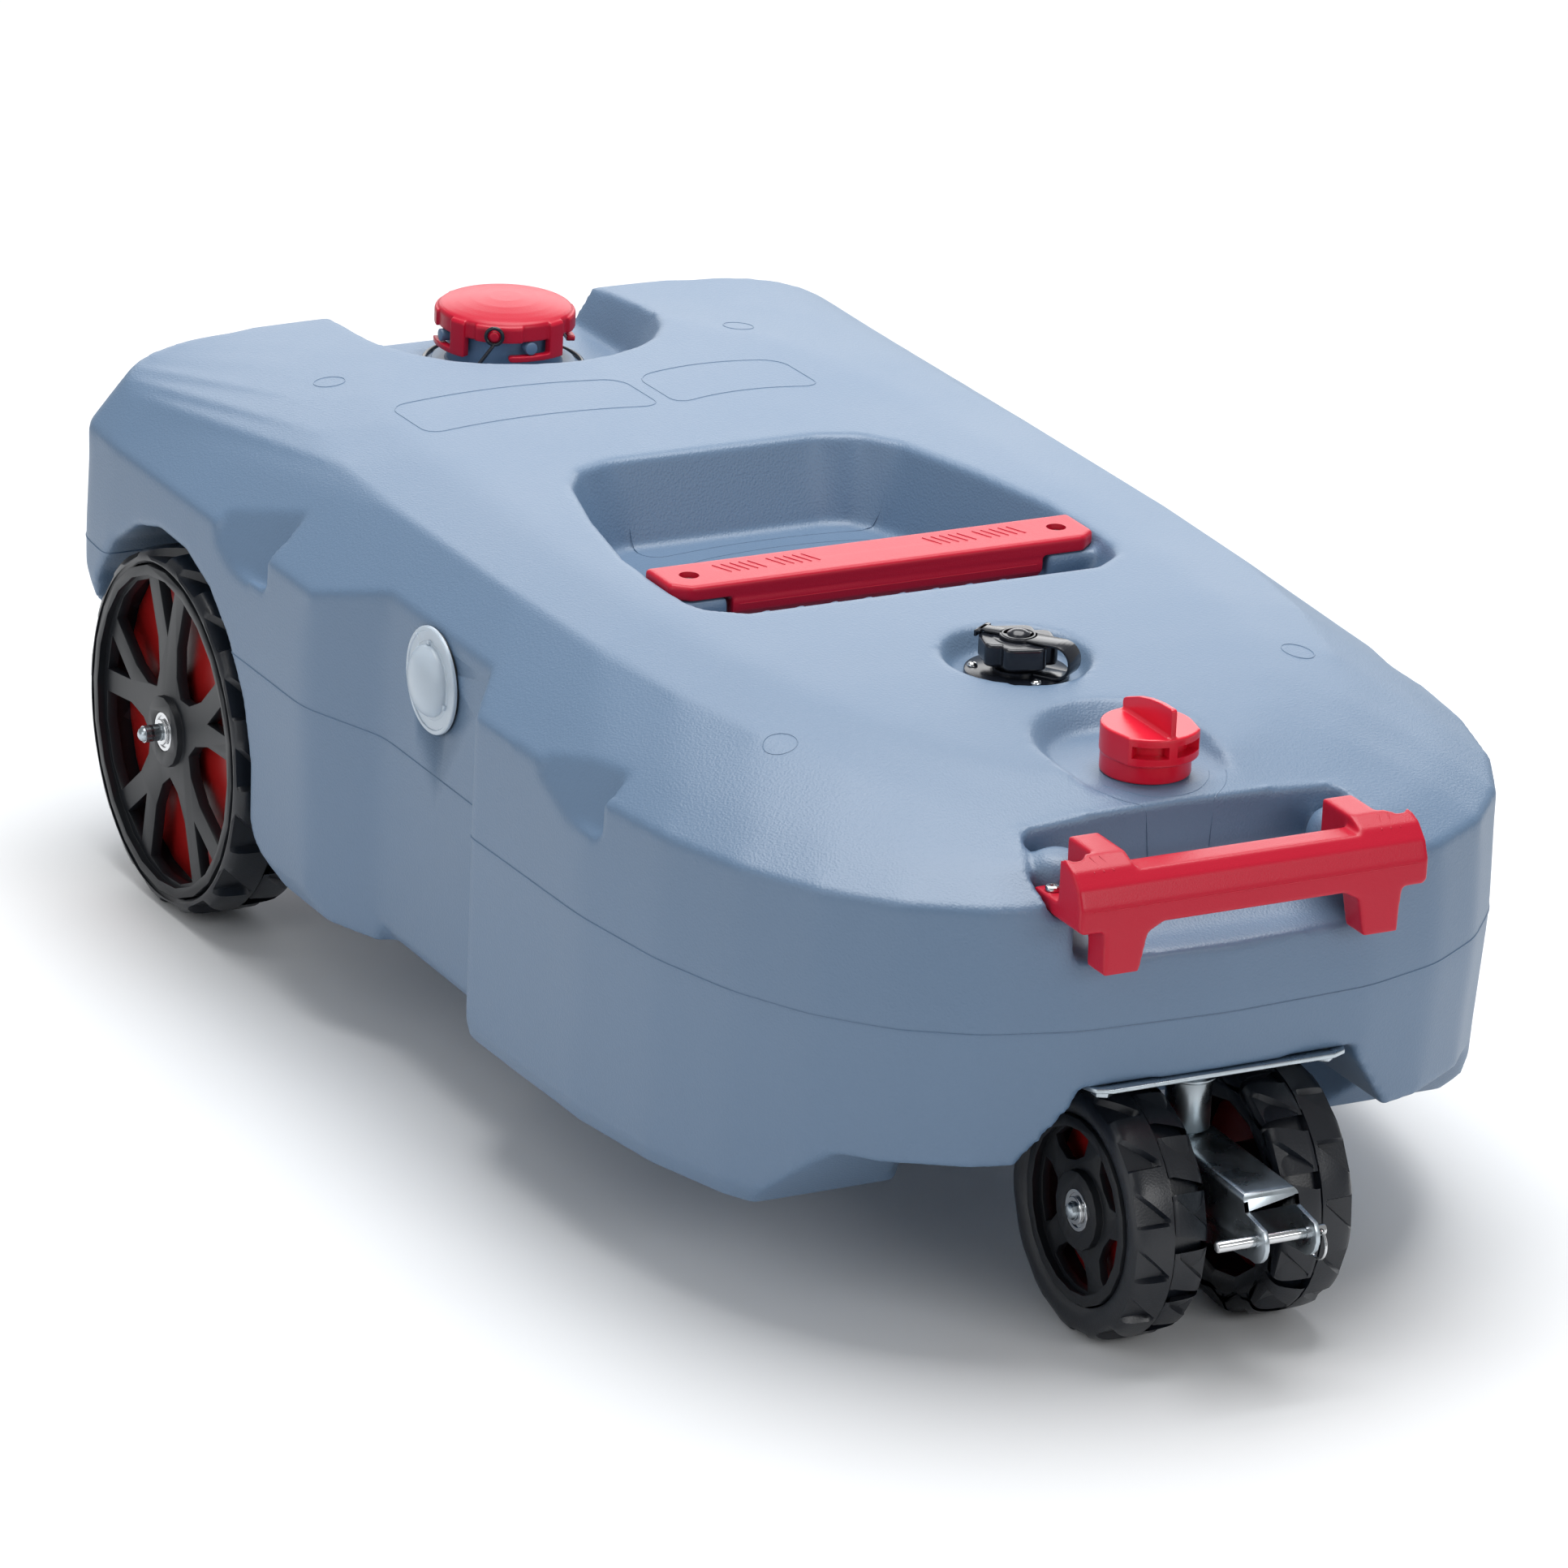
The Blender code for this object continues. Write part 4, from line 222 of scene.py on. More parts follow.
def moulded_grain():
    """Moulded plastic: a fine grain, faint patches of shade and a varied gloss."""
    if "moulded grain" in bpy.data.node_groups:
        return bpy.data.node_groups["moulded grain"]
    group, ins, outs = new_group("moulded grain", [
        ("Vector", "NodeSocketVector", None), ("Colour", "NodeSocketColor", (0.5, 0.5, 0.5, 1.0)),
        ("Grain Size", "NodeSocketFloat", 600.0), ("Grain Depth", "NodeSocketFloat", 0.0002),
        ("Shade", "NodeSocketFloat", 0.06), ("Speckle", "NodeSocketFloat", 0.03),
        ("Gloss Low", "NodeSocketFloat", 0.4), ("Gloss High", "NodeSocketFloat", 0.5),
    ], [("Colour", "NodeSocketColor"), ("Roughness", "NodeSocketFloat"), ("Normal", "NodeSocketVector")])
    place, tint = ins.outputs["Vector"], ins.outputs["Colour"]
    fine = {"Vector": place, "Scale": ins.outputs["Grain Size"]}
    grain = add_node(group, "ShaderNodeTexNoise", fine, inputs={"Detail": 2.5, "Roughness": 0.55})
    cells = add_node(group, "ShaderNodeTexVoronoi", fine, feature="SMOOTH_F1", inputs={"Smoothness": 0.6})
    height = add_node(group, "ShaderNodeMath", {0: grain.outputs["Fac"], 1: cells.outputs["Distance"]},
                      operation="ADD")
    bump = add_node(group, "ShaderNodeBump",
                    {"Height": height.outputs[0], "Distance": ins.outputs["Grain Depth"]},
                    inputs={"Strength": 1.0})
    patch = add_node(group, "ShaderNodeTexNoise", {"Vector": place}, inputs={"Scale": 7.0, "Detail": 3.0})
    dots = add_node(group, "ShaderNodeTexNoise", {"Vector": place}, inputs={"Scale": 1900.0, "Detail": 1.0})
    parts = []
    for source, amount in ((patch, "Shade"), (dots, "Speckle")):
        centred = add_node(group, "ShaderNodeMath", {0: source.outputs["Fac"]}, operation="SUBTRACT",
                           inputs={1: 0.5})
        parts.append(add_node(group, "ShaderNodeMath", {0: centred.outputs[0], 1: ins.outputs[amount]},
                              operation="MULTIPLY"))
    change = add_node(group, "ShaderNodeMath", {0: parts[0].outputs[0], 1: parts[1].outputs[0]},
                      operation="ADD")
    factor = add_node(group, "ShaderNodeMath", {0: change.outputs[0]}, operation="ADD", inputs={1: 1.0})
    tinted = add_node(group, "ShaderNodeVectorMath", {0: tint, "Scale": factor.outputs[0]}, operation="SCALE")
    gloss = add_node(group, "ShaderNodeMapRange", gloss_range(ins, patch))
    put_out(group, outs, tinted, gloss, bump)
    return group


def drawn_metal():
    """Rolled and plated metal: fine lines along one axis, spangle and a varied gloss."""
    if "drawn metal" in bpy.data.node_groups:
        return bpy.data.node_groups["drawn metal"]
    group, ins, outs = new_group("drawn metal", [
        ("Vector", "NodeSocketVector", None), ("Colour", "NodeSocketColor", (0.6, 0.6, 0.6, 1.0)),
        ("Stretch", "NodeSocketVector", (900.0, 30.0, 900.0)), ("Line Depth", "NodeSocketFloat", 0.00003),
        ("Spangle", "NodeSocketFloat", 0.12), ("Gloss Low", "NodeSocketFloat", 0.2),
        ("Gloss High", "NodeSocketFloat", 0.4),
    ], [("Colour", "NodeSocketColor"), ("Roughness", "NodeSocketFloat"), ("Normal", "NodeSocketVector")])
    place, tint = ins.outputs["Vector"], ins.outputs["Colour"]
    along = add_node(group, "ShaderNodeVectorMath", {0: place, 1: ins.outputs["Stretch"]},
                     operation="MULTIPLY")
    lines = add_node(group, "ShaderNodeTexNoise", {"Vector": along.outputs[0]},
                     inputs={"Scale": 1.0, "Detail": 3.0})
    bump = add_node(group, "ShaderNodeBump",
                    {"Height": lines.outputs["Fac"], "Distance": ins.outputs["Line Depth"]},
                    inputs={"Strength": 1.0})
    spangle = add_node(group, "ShaderNodeTexVoronoi", {"Vector": place}, inputs={"Scale": 140.0})
    cloud = add_node(group, "ShaderNodeTexNoise", {"Vector": place}, inputs={"Scale": 45.0, "Detail": 4.0})
    tone = add_node(group, "ShaderNodeSeparateColor", {0: spangle.outputs["Color"]})
    mixed = add_node(group, "ShaderNodeMath", {0: tone.outputs[0], 2: cloud.outputs["Fac"]},
                     operation="MULTIPLY_ADD", inputs={1: 0.35})
    low = add_node(group, "ShaderNodeMath", {1: ins.outputs["Spangle"]}, operation="SUBTRACT",
                   inputs={0: 1.0})
    swing = add_node(group, "ShaderNodeMapRange", {"Value": mixed.outputs[0], "To Min": low.outputs[0]},
                     inputs={"From Min": 0.3, "From Max": 1.0, "To Max": 1.0})
    tinted = add_node(group, "ShaderNodeVectorMath", {0: tint, "Scale": swing.outputs["Result"]},
                      operation="SCALE")
    gloss = add_node(group, "ShaderNodeMapRange", gloss_range(ins, cloud),
                     inputs={"From Min": 0.3, "From Max": 0.7})
    put_out(group, outs, tinted, gloss, bump)
    return group


def grained(size, depth, shade, speckle, low, high):
    """A moulded finish: grains per metre, their height, how far the shade strays, and its roughness."""
    return {"Grain Size": size, "Grain Depth": depth, "Shade": shade, "Speckle": speckle, "Gloss Low": low,
            "Gloss High": high}


PLASTIC = {"group": moulded_grain, "metallic": 0.0}
METAL = {"group": drawn_metal, "metallic": 1.0}

# Each finish: its settings and the colour in them, its kind, its effect's values, the shader's own values
FINISHES = {
    "tank": ("mould_settings", "plastic", PLASTIC,
             {"Shade": 0.07, "Speckle": 0.05, "Gloss Low": 0.40, "Gloss High": 0.50},
             {"Specular IOR Level": 0.75}),
    "neck": ("mould_settings", "plastic", PLASTIC, grained(900.0, 0.00004, 0.05, 0.02, 0.38, 0.5), {}),
    "handle": ("red_settings", "handle", PLASTIC, grained(1100.0, 0.00005, 0.10, 0.06, 0.30, 0.40),
               {"Specular IOR Level": 0.35}),
    "cap_red": ("red_settings", "cap", PLASTIC, grained(1200.0, 0.00002, 0.06, 0.02, 0.24, 0.34),
                {"Specular IOR Level": 0.5}),
    "rim": ("wheel_settings", "rim", PLASTIC, grained(1300.0, 0.00003, 0.25, 0.10, 0.34, 0.46),
            {"Specular IOR Level": 0.3}),
    "rubber": ("wheel_settings", "rubber", PLASTIC, grained(700.0, 0.00005, 0.35, 0.20, 0.26, 0.40), {}),
    "disc": ("wheel_settings", "disc", PLASTIC, grained(900.0, 0.00003, 0.12, 0.05, 0.30, 0.40), {}),
    "black": ("fitting_settings", "black", PLASTIC, grained(1100.0, 0.000015, 0.20, 0.05, 0.16, 0.26), {}),
    "seal": ("fitting_settings", "seal", PLASTIC, grained(800.0, 0.00004, 0.20, 0.1, 0.5, 0.65), {}),
    "window": ("fitting_settings", "window", PLASTIC, grained(900.0, 0.00003, 0.04, 0.01, 0.22, 0.32),
               {"Transmission Weight": 0.45, "IOR": 1.45}),
    "zinc": ("metal_settings", "zinc", METAL, {"Spangle": 0.18, "Gloss Low": 0.22, "Gloss High": 0.36}, {}),
    "steel": ("metal_settings", "steel", METAL,
              {"Stretch": (60.0, 1400.0, 1400.0), "Spangle": 0.05, "Gloss Low": 0.14, "Gloss High": 0.24},
              {}),
}


def surface(name, effect_group, tint, values, fed=("Roughness", "Normal")):
    """A material whose colour, and what else is fed, comes from an effect read in Object coordinates."""
    material = bpy.data.materials.new(name)
    material.use_nodes = True
    tree = material.node_tree
    shader = tree.nodes["Principled BSDF"]
    places = add_node(tree, "ShaderNodeTexCoord")
    effect = add_node(tree, "ShaderNodeGroup", node_tree=effect_group)
    tree.links.new(places.outputs["Object"], effect.inputs["Vector"])
    for socket, value in {"Colour": (*tint, 1.0), **values}.items():
        effect.inputs[socket].default_value = value
    tree.links.new(effect.outputs["Colour"], shader.inputs["Base Color"])
    for socket in fed:
        tree.links.new(effect.outputs[socket], shader.inputs[socket])
    return material, shader


def finish(name):
    """The material of a finish, made from its settings the first time."""
    if name in bpy.data.materials:
        return bpy.data.materials[name]
    group_name, tint, kind, values, plain = FINISHES[name]
    look = settings(group_name)
    if name == "tank":
        values = {"Grain Size": look.grain_size, "Grain Depth": look.grain_depth, **values}
    material, shader = surface(name, kind["group"](), getattr(look, tint), values)
    shader.inputs["Metallic"].default_value = kind["metallic"]
    for socket, value in plain.items():
        shader.inputs[socket].default_value = value
    return material


# Shapes

FLAT = 0.6          # degrees that two faces of one flat CAD face may turn by


def merged(*nodes):
    """The welded mesh of one or more CAD nodes, their flat faces whole again."""
    bm = bmesh.new()
    for node in nodes:
        bm.from_mesh(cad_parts[node].data)
    bmesh.ops.remove_doubles(bm, verts=bm.verts, dist=0.000005)
    return bm


def linked(name, data):
    """A new object in the scene."""
    obj = bpy.data.objects.new(name, data)
    bpy.context.scene.collection.objects.link(obj)
    return obj


def standing(name, bm):
    """A new object in the scene with the bmesh as its mesh; the bmesh is freed."""
    mesh = bpy.data.meshes.new(name)
    bm.to_mesh(mesh)
    bm.free()
    return linked(name, mesh)


def taken(obj, steps):
    """The bmesh of an object after modifiers; each step is (type, {property: value})."""
    for kind, values in steps:
        step = obj.modifiers.new(kind, kind)
        for name, value in values.items():
            setattr(step, name, value)
    bpy.context.view_layer.update()
    result = bmesh.new()
    result.from_object(obj, bpy.context.evaluated_depsgraph_get())
    mesh = obj.data
    bpy.data.objects.remove(obj, do_unlink=True)
    bpy.data.meshes.remove(mesh)
    return result


def evaluated(bm, *steps):
    """The bmesh after modifiers."""
    return taken(standing("blank", bm), steps)


def added(bm, *others):
    """Adds other bmeshes to the first and frees them."""
    for other in others:
        mesh = bpy.data.meshes.new("part")
        other.to_mesh(mesh)
        other.free()
        bm.from_mesh(mesh)
        bpy.data.meshes.remove(mesh)
    return bm


def cut(bm, *tools):
    """The first bmesh less each of the others."""
    held = [standing("tool", tool) for tool in tools]
    steps = [("BOOLEAN", {"operation": "DIFFERENCE", "solver": "EXACT", "object": obj}) for obj in held]
    result = evaluated(bm, *steps)
    for obj in held:
        bpy.data.objects.remove(obj, do_unlink=True)
    return result


def voxels(cell):
    """The step that rebuilds a mesh from even cells."""
    return "REMESH", {"mode": "VOXEL", "voxel_size": cell, "adaptivity": 0.0}


def melted(bm, cell, passes):
    """One even skin round everything in the bmesh, its edges rounded as in a mould."""
    return evaluated(bm, voxels(cell), ("SMOOTH", {"factor": 0.5, "iterations": passes}))


def thinned(bm, faces):
    """The mesh brought down to about a number of triangles."""
    count = sum(len(f.verts) - 2 for f in bm.faces)
    if count <= faces:
        return bm
    return evaluated(bm, ("DECIMATE", {"ratio": faces / count}))


def turned(profile, steps=64, matrix=None, start=0.0, sweep=math.tau):
    """A profile of (radius, height) spun about Z, then put in place."""
    bm = bmesh.new()
    verts = [bm.verts.new((radius, 0.0, height)) for radius, height in profile]
    edges = [bm.edges.new(pair) for pair in zip(verts, verts[1:])]
    full = abs(sweep - math.tau) < 1e-6
    if not full:
        edges.append(bm.edges.new((verts[-1], verts[0])))
        bm.faces.new(verts)
    bmesh.ops.rotate(bm, verts=bm.verts, cent=(0, 0, 0), matrix=Matrix.Rotation(start, 3, "Z"))
    bmesh.ops.spin(bm, geom=verts + edges if full else bm.faces[:], cent=(0, 0, 0), axis=(0, 0, 1),
                   angle=sweep, steps=steps, use_merge=full, use_duplicate=False)
    bmesh.ops.remove_doubles(bm, verts=bm.verts, dist=0.000003)
    bmesh.ops.recalc_face_normals(bm, faces=bm.faces)
    if matrix is not None:
        bmesh.ops.transform(bm, matrix=matrix, verts=bm.verts)
    return bm


def hoop(profile, steps=64, matrix=None):
    """A closed profile of (radius, height) spun about Z into a ring."""
    return turned([*profile, profile[0]], steps, matrix)


def moved(bm, matrix):
    """The bmesh, put in place."""
    bmesh.ops.transform(bm, matrix=matrix, verts=bm.verts)
    return bm


def rounded(bm, edges, width, steps=2, **more):
    """The bmesh with some of its edges rounded."""
    bmesh.ops.bevel(bm, geom=edges, offset=width, offset_type="OFFSET", affect="EDGES", segments=steps,
                    profile=0.5, material=-1, **more)
    return bm


def level_edges(bm):
    """The edges that lie level: those round the two ends of an upright shape."""
    return [edge for edge in bm.edges if abs(edge.verts[0].co.z - edge.verts[1].co.z) < 1e-6]


def flattened(bm, degrees):
    """The bmesh with its flat faces whole again."""
    bmesh.ops.dissolve_limit(bm, angle_limit=math.radians(degrees), use_dissolve_boundaries=False,
                             verts=bm.verts, edges=bm.edges, delimit=set())
    return bm


def rod(radius, low, high, centre, axis="Z", segments=32, end_radius=None, edge=0.0, edge_steps=2):
    """A round bar along an axis, its end edges rounded; centre is its place across the axis."""
    bm = bmesh.new()
    across = {"X": (0, *centre), "Y": (centre[0], 0, centre[1]), "Z": (*centre, 0)}[axis]
    place = Matrix.Translation(across) @ TURN[axis] @ Matrix.Translation((0, 0, (low + high) / 2))
    bmesh.ops.create_cone(bm, cap_ends=True, segments=segments, radius1=radius,
                          radius2=radius if end_radius is None else end_radius, depth=high - low)
    if edge:
        rounded(bm, level_edges(bm), edge, edge_steps)
    return moved(bm, place)


def slab(outline, low, high, axis="Z", edge=0.0):
    """A flat outline extruded along an axis, its edges rounded."""
    orders = {"Z": lambda a, b, h: (a, b, h), "Y": lambda a, b, h: (a, h, b), "X": lambda a, b, h: (h, a, b)}
    order = orders[axis]
    bm = bmesh.new()
    face = bm.faces.new([bm.verts.new(order(a, b, low)) for a, b in outline])
    made = bmesh.ops.extrude_face_region(bm, geom=[face])
    ends = [v for v in made["geom"] if isinstance(v, bmesh.types.BMVert)]
    bmesh.ops.translate(bm, vec=Vector(order(0, 0, high - low)), verts=ends)
    bmesh.ops.recalc_face_normals(bm, faces=bm.faces)
    if edge:
        rounded(bm, bm.edges[:], edge, clamp_overlap=True)
    return bm


def block(low, high, edge=0.0, turn=None):
    """A box with rounded edges, turned about its middle."""
    bm = bmesh.new()
    low, high = Vector(low), Vector(high)
    bmesh.ops.create_cube(bm, size=1.0, matrix=Matrix.Diagonal((*(high - low), 1.0)))
    if edge:
        rounded(bm, bm.edges[:], edge)
    place = Matrix.Translation((low + high) / 2)
    return moved(bm, place if turn is None else place @ turn)


def edged(bm, width, angle):
    """A CAD mesh with its sharp edges rounded, those that turn by more than an angle in degrees."""
    flattened(bm, FLAT)
    sharp = [e for e in bm.edges if len(e.link_faces) == 2 and e.calc_face_angle() > math.radians(angle)]
    return rounded(bm, sharp, width, clamp_overlap=True, loop_slide=True)


def arc(centre, radius, start, end, steps):
    """Points along an arc."""
    return [(centre[0] + radius * math.cos(start + (end - start) * i / steps),
             centre[1] + radius * math.sin(start + (end - start) * i / steps)) for i in range(steps + 1)]


def rounded_plan(x0, y0, x1, y1, corner, steps):
    """The four rounded corners of a rectangle, as one line of points."""
    return (arc((x1 - corner, y1 - corner), corner, 0, math.pi / 2, steps)
            + arc((x0 + corner, y1 - corner), corner, math.pi / 2, math.pi, steps)
            + arc((x0 + corner, y0 + corner), corner, math.pi, 1.5 * math.pi, steps)
            + arc((x1 - corner, y0 + corner), corner, 1.5 * math.pi, math.tau, steps))


def tube(lines, radius, closed=False, sides=3):
    """Round beads along lines of points, welded shut."""
    data = bpy.data.curves.new("bead", "CURVE")
    data.dimensions = "3D"
    data.bevel_depth = radius
    data.bevel_resolution = sides
    data.use_fill_caps = True
    for points in lines:
        spline = data.splines.new("POLY")
        spline.points.add(len(points) - 1)
        for slot, point in zip(spline.points, points):
            slot.co = (*point, 1.0)
        spline.use_cyclic_u = closed
    obj = linked("bead", data)
    bpy.context.view_layer.update()
    mesh = bpy.data.meshes.new_from_object(obj.evaluated_get(bpy.context.evaluated_depsgraph_get()))
    bm = bmesh.new()
    bm.from_mesh(mesh)
    bpy.data.objects.remove(obj, do_unlink=True)
    bpy.data.curves.remove(data)
    bpy.data.meshes.remove(mesh)
    bmesh.ops.remove_doubles(bm, verts=bm.verts, dist=0.000002)
    bmesh.ops.recalc_face_normals(bm, faces=bm.faces)
    return bm


def piece(name, bm, look, body, slot, *nodes, angle=35):
    """Makes a finished bmesh a named object with its finish, parents it to its body and hides the CAD nodes
    it stands for.
    """
    obj = standing(name, bm)
    obj.data.materials.clear()
    obj.data.materials.append(finish(look))
    obj.data.shade_smooth()
    obj.data.set_sharp_from_angle(angle=math.radians(angle))
    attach(obj, body)
    if nodes:
        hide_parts(*nodes)
    return obj


def upright(spot):
    """Puts a shape that is made round the Z axis, at its own heights, over a spot in plan."""
    return Matrix.Translation((spot.x, spot.y, 0))


def about_z(angle):
    """A turn about the Z axis."""
    return Matrix.Rotation(angle, 4, "Z")


def facing(centre, side):
    """Puts a wheel piece that is modelled with its outer face up onto its axle."""
    return Matrix.Translation(centre) @ Matrix.Rotation(side * math.pi / 2, 4, "Y")


# Tank

SEAM_Z = 0.225                          # where the mould's halves met
OVER = 0.45                             # a height above the whole tank, to drop points from
CREASE = math.radians(15)
UPRIGHT_CREASE = math.radians(34)       # a bowed side's facets turn by less than this
NEAR_CREASE = 0.005                     # the surface starts to flow this far from a crease
FLOW_BLEND = 0.018                      # and flows in full this much further on
LEAST_WALL = 0.0035                     # the wall that stays where the rounded skin comes near the hollow
LIP_R = 0.0028
LIP_SUNK = 0.30                         # share of the lip's radius that lies in the deck
LUMP_X, LUMP_Y, LUMP_R = 0.1, -0.4655, 0.021   # the rounded lumps under the tow handle's ends
UP = Vector((0, 0, 1))
LEFT = Vector((-1, 0, 0))


def crease_points(bm, spacing):
    """Points along every edge of the bmesh that the mould really has."""
    points = []
    for edge in bm.edges:
        a, b = edge.verts[0].co, edge.verts[1].co
        upright = abs(a.z - b.z) > 0.8 * (a - b).length
        if len(edge.link_faces) == 2 and edge.calc_face_angle() > (UPRIGHT_CREASE if upright else CREASE):
            count = max(1, int((b - a).length / spacing))
            points += [a.lerp(b, i / count) for i in range(count + 1)]
    return points


# The shell's bores: a point on the axis at the rim, the way out, and the bore's radius
SEAT = 0.0003                           # what seats on the shell lies this far off it
RINSE_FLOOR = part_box("rinse_flange")[1].z - 0.0213
BORES = ((Vector((INLET.x, INLET.y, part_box("inlet_neck")[0].z - SEAT)), UP, 0.0375),
         (Vector((VENT.x, VENT.y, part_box("vent_seal")[0].z - SEAT)), UP, 0.0155),
         (Vector((RINSE.x, RINSE.y, RINSE_FLOOR)), UP, 0.0130),
         (Vector((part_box("window_gasket")[1].x + SEAT, WINDOW.y, WINDOW.z)), LEFT, 0.0260))
RIM_PLAY = 0.0006                       # a rim's corners are found within this


def on_rim(edge):
    """Whether the edge runs round the rim of one of the shell's bores."""
    for centre, out, radius in BORES:
        arms = [vert.co - centre for vert in edge.verts]
        if all(abs(arm.dot(out)) < RIM_PLAY and abs((arm - out * arm.dot(out)).length - radius) < RIM_PLAY
               for arm in arms):
            return True
    return False


# The corners of the small gaps at both ends of each side's waist, at its foot, where hollow meets outside
FOOT_GAP = tuple(Vector((side * x, y, z)) for side in (-1, 1) for y in (0.1207, -0.0358)
                 for x, z in ((0.2764, 0.0820), (0.2807, 0.0820), (0.2807, 0.0866)))


def on_foot_gap(edge):
    """Whether the edge is a side of a gap at the foot of a waist; the skin closes these gaps."""
    start, end = (vert.co for vert in edge.verts)
    return abs(start.y - end.y) < 0.001 and all(any((point - corner).length < 0.0004 for corner in FOOT_GAP)
                                                for point in (start, end))


def split_shell(bm):
    """The shell's outside and its hollow, each a closed bmesh; the hollow reaches out of every bore."""
    rims = {edge for edge in bm.edges if on_rim(edge) or on_foot_gap(edge)}
    start = min(bm.verts, key=lambda vert: vert.co.y).link_faces[0]
    outside = {start}
    ahead = [start]
    while ahead:
        for edge in ahead.pop().edges:
            if edge not in rims:
                fresh = [face for face in edge.link_faces if face not in outside]
                outside.update(fresh)
                ahead += fresh
    for face in bm.faces:
        face.tag = face in outside
    hollow = bm.copy()
    bmesh.ops.delete(hollow, geom=[face for face in hollow.faces if face.tag], context="FACES")
    bmesh.ops.delete(bm, geom=[face for face in bm.faces if not face.tag], context="FACES")
    for part in (bm, hollow):
        bmesh.ops.holes_fill(part, edges=[edge for edge in part.edges if edge.is_boundary])
    for centre, out, radius in BORES:
        lids = [face for face in hollow.faces if face.normal.cross(out).length < 0.02
                and (face.calc_center_bounds() - centre).length < radius * 0.5]
        if lids:
            made = bmesh.ops.extrude_face_region(hollow, geom=lids)
            ends = [part for part in made["geom"] if isinstance(part, bmesh.types.BMVert)]
            bmesh.ops.translate(hollow, vec=out * 0.006, verts=ends)
            bmesh.ops.delete(hollow, geom=lids, context="FACES_ONLY")
    bmesh.ops.recalc_face_normals(hollow, faces=hollow.faces)
    return bm, hollow


def tucked(hollow, tree):
    """Moves the hollow back under the skin wherever the rounded skin comes too near to it."""
    bmesh.ops.triangulate(hollow, faces=hollow.faces)
    for _ in range(4):
        long_edges = [edge for edge in hollow.edges if edge.calc_length() > 0.014]
        bmesh.ops.subdivide_edges(hollow, edges=long_edges, cuts=1)
        bmesh.ops.triangulate(hollow, faces=hollow.faces)
    for vert in hollow.verts:
        arms = [(vert.co - centre, out, radius) for centre, out, radius in BORES]
        if all((arm - out * arm.dot(out)).length > radius + 0.004 or abs(arm.dot(out)) > 0.05
               for arm, out, radius in arms):
            spot, normal = tree.find_nearest(vert.co)[:2]
            if (spot - vert.co).dot(normal) < LEAST_WALL:
                vert.co = spot - normal * LEAST_WALL
    return hollow


def dropped(tree, x, y, top=OVER):
    """The point of the surface straight below, or None."""
    return tree.ray_cast(Vector((x, y, top)), -UP)[0]


def recess_lip(tree):
    """The raised lip round the tow handle's recess, dropped onto the shell."""
    low, high = FRONT_HANDLE
    side_x, back_x = high.x + 0.0050, high.x - 0.0098
    front_y, bend_y, back_y = low.y + 0.0245, high.y + 0.0030, high.y + 0.0392
    plan = [(side_x, front_y), (side_x, bend_y), (back_x, back_y), (-back_x, back_y), (-side_x, bend_y),
            (-side_x, front_y)]
    points = []
    for start, end in zip(plan, plan[1:]):
        count = max(1, round(math.dist(start, end) / 0.003))
        for i in range(count):
            x, y = (start[k] + (end[k] - start[k]) * i / count for k in range(2))
            hit = dropped(tree, x, y)
            if hit is not None:
                points.append(hit - UP * (LIP_R * LIP_SUNK))
    return points


def tank_skin(look):
    """The tank rebuilt as one even skin: broad faces flow, moulded edges keep their place."""
    base, hollow = split_shell(merged("tank_shell"))
    flattened(base, 0.5)
    points = crease_points(base, 0.004)
    lip = recess_lip(BVHTree.FromBMesh(base))
    points += lip
    near = KDTree(len(points))
    for index, point in enumerate(points):
        near.insert(point, index)
    near.balance()
    added(base, tube([lip], LIP_R, sides=4))
    for side in SIDES.values():
        added(base, rod(LUMP_R, 0.296, 0.331, (side * LUMP_X, LUMP_Y), segments=40, edge=0.012, edge_steps=6))
    blank = standing("skin", evaluated(base, voxels(look.skin_cell)))
    broad = blank.vertex_groups.new(name="broad")
    weights = {}
    for vert in blank.data.vertices:
        distance = near.find(vert.co)[2]
        level = round(min(1.0, max(0.0, (distance - NEAR_CREASE) / FLOW_BLEND)) * 10)
        if level:
            weights.setdefault(level, []).append(vert.index)
    for level, indices in weights.items():
        broad.add(indices, level / 10, "REPLACE")
    flow = ("SMOOTH", {"factor": 0.5, "iterations": look.flow, "vertex_group": broad.name})
    soft = ("SMOOTH", {"factor": 0.5, "iterations": look.soften})
    return taken(blank, (flow, soft)), hollow


def walked(bm):
    """The points of each closed loop of loose edges."""
    loops = []
    left = set(bm.verts)
    while left:
        vert = left.pop()
        loop = [vert]
        while True:
            ahead = [e.other_vert(vert) for e in vert.link_edges if e.other_vert(vert) in left]
            if not ahead:
                break
            vert = ahead[0]
            left.discard(vert)
            loop.append(vert)
        loops.append([v.co.copy() for v in loop])
    return loops


def laid_on(tree, outline, top=OVER):
    """Points of a plan outline dropped onto the skin from a height."""
    hits = [dropped(tree, x, y, top) for x, y in outline]
    return [hit for hit in hits if hit is not None]


def plaque(x0, y0, x1, y1, corner, bow):
    """A rounded rectangle in plan, bowed towards the tow end at its left and right."""
    corners = rounded_plan(x0, y0, x1, y1, corner, 5)
    points = []
    for start, end in zip(corners, corners[1:] + corners[:1]):
        count = max(1, int(math.dist(start, end) / 0.006))
        points += [(start[0] + (end[0] - start[0]) * i / count, start[1] + (end[1] - start[1]) * i / count)
                   for i in range(count)]
    centre = (x0 + x1) / 2
    half = (x1 - x0) / 2
    return [(x, y - bow * ((x - centre) / half) ** 2) for x, y in points]


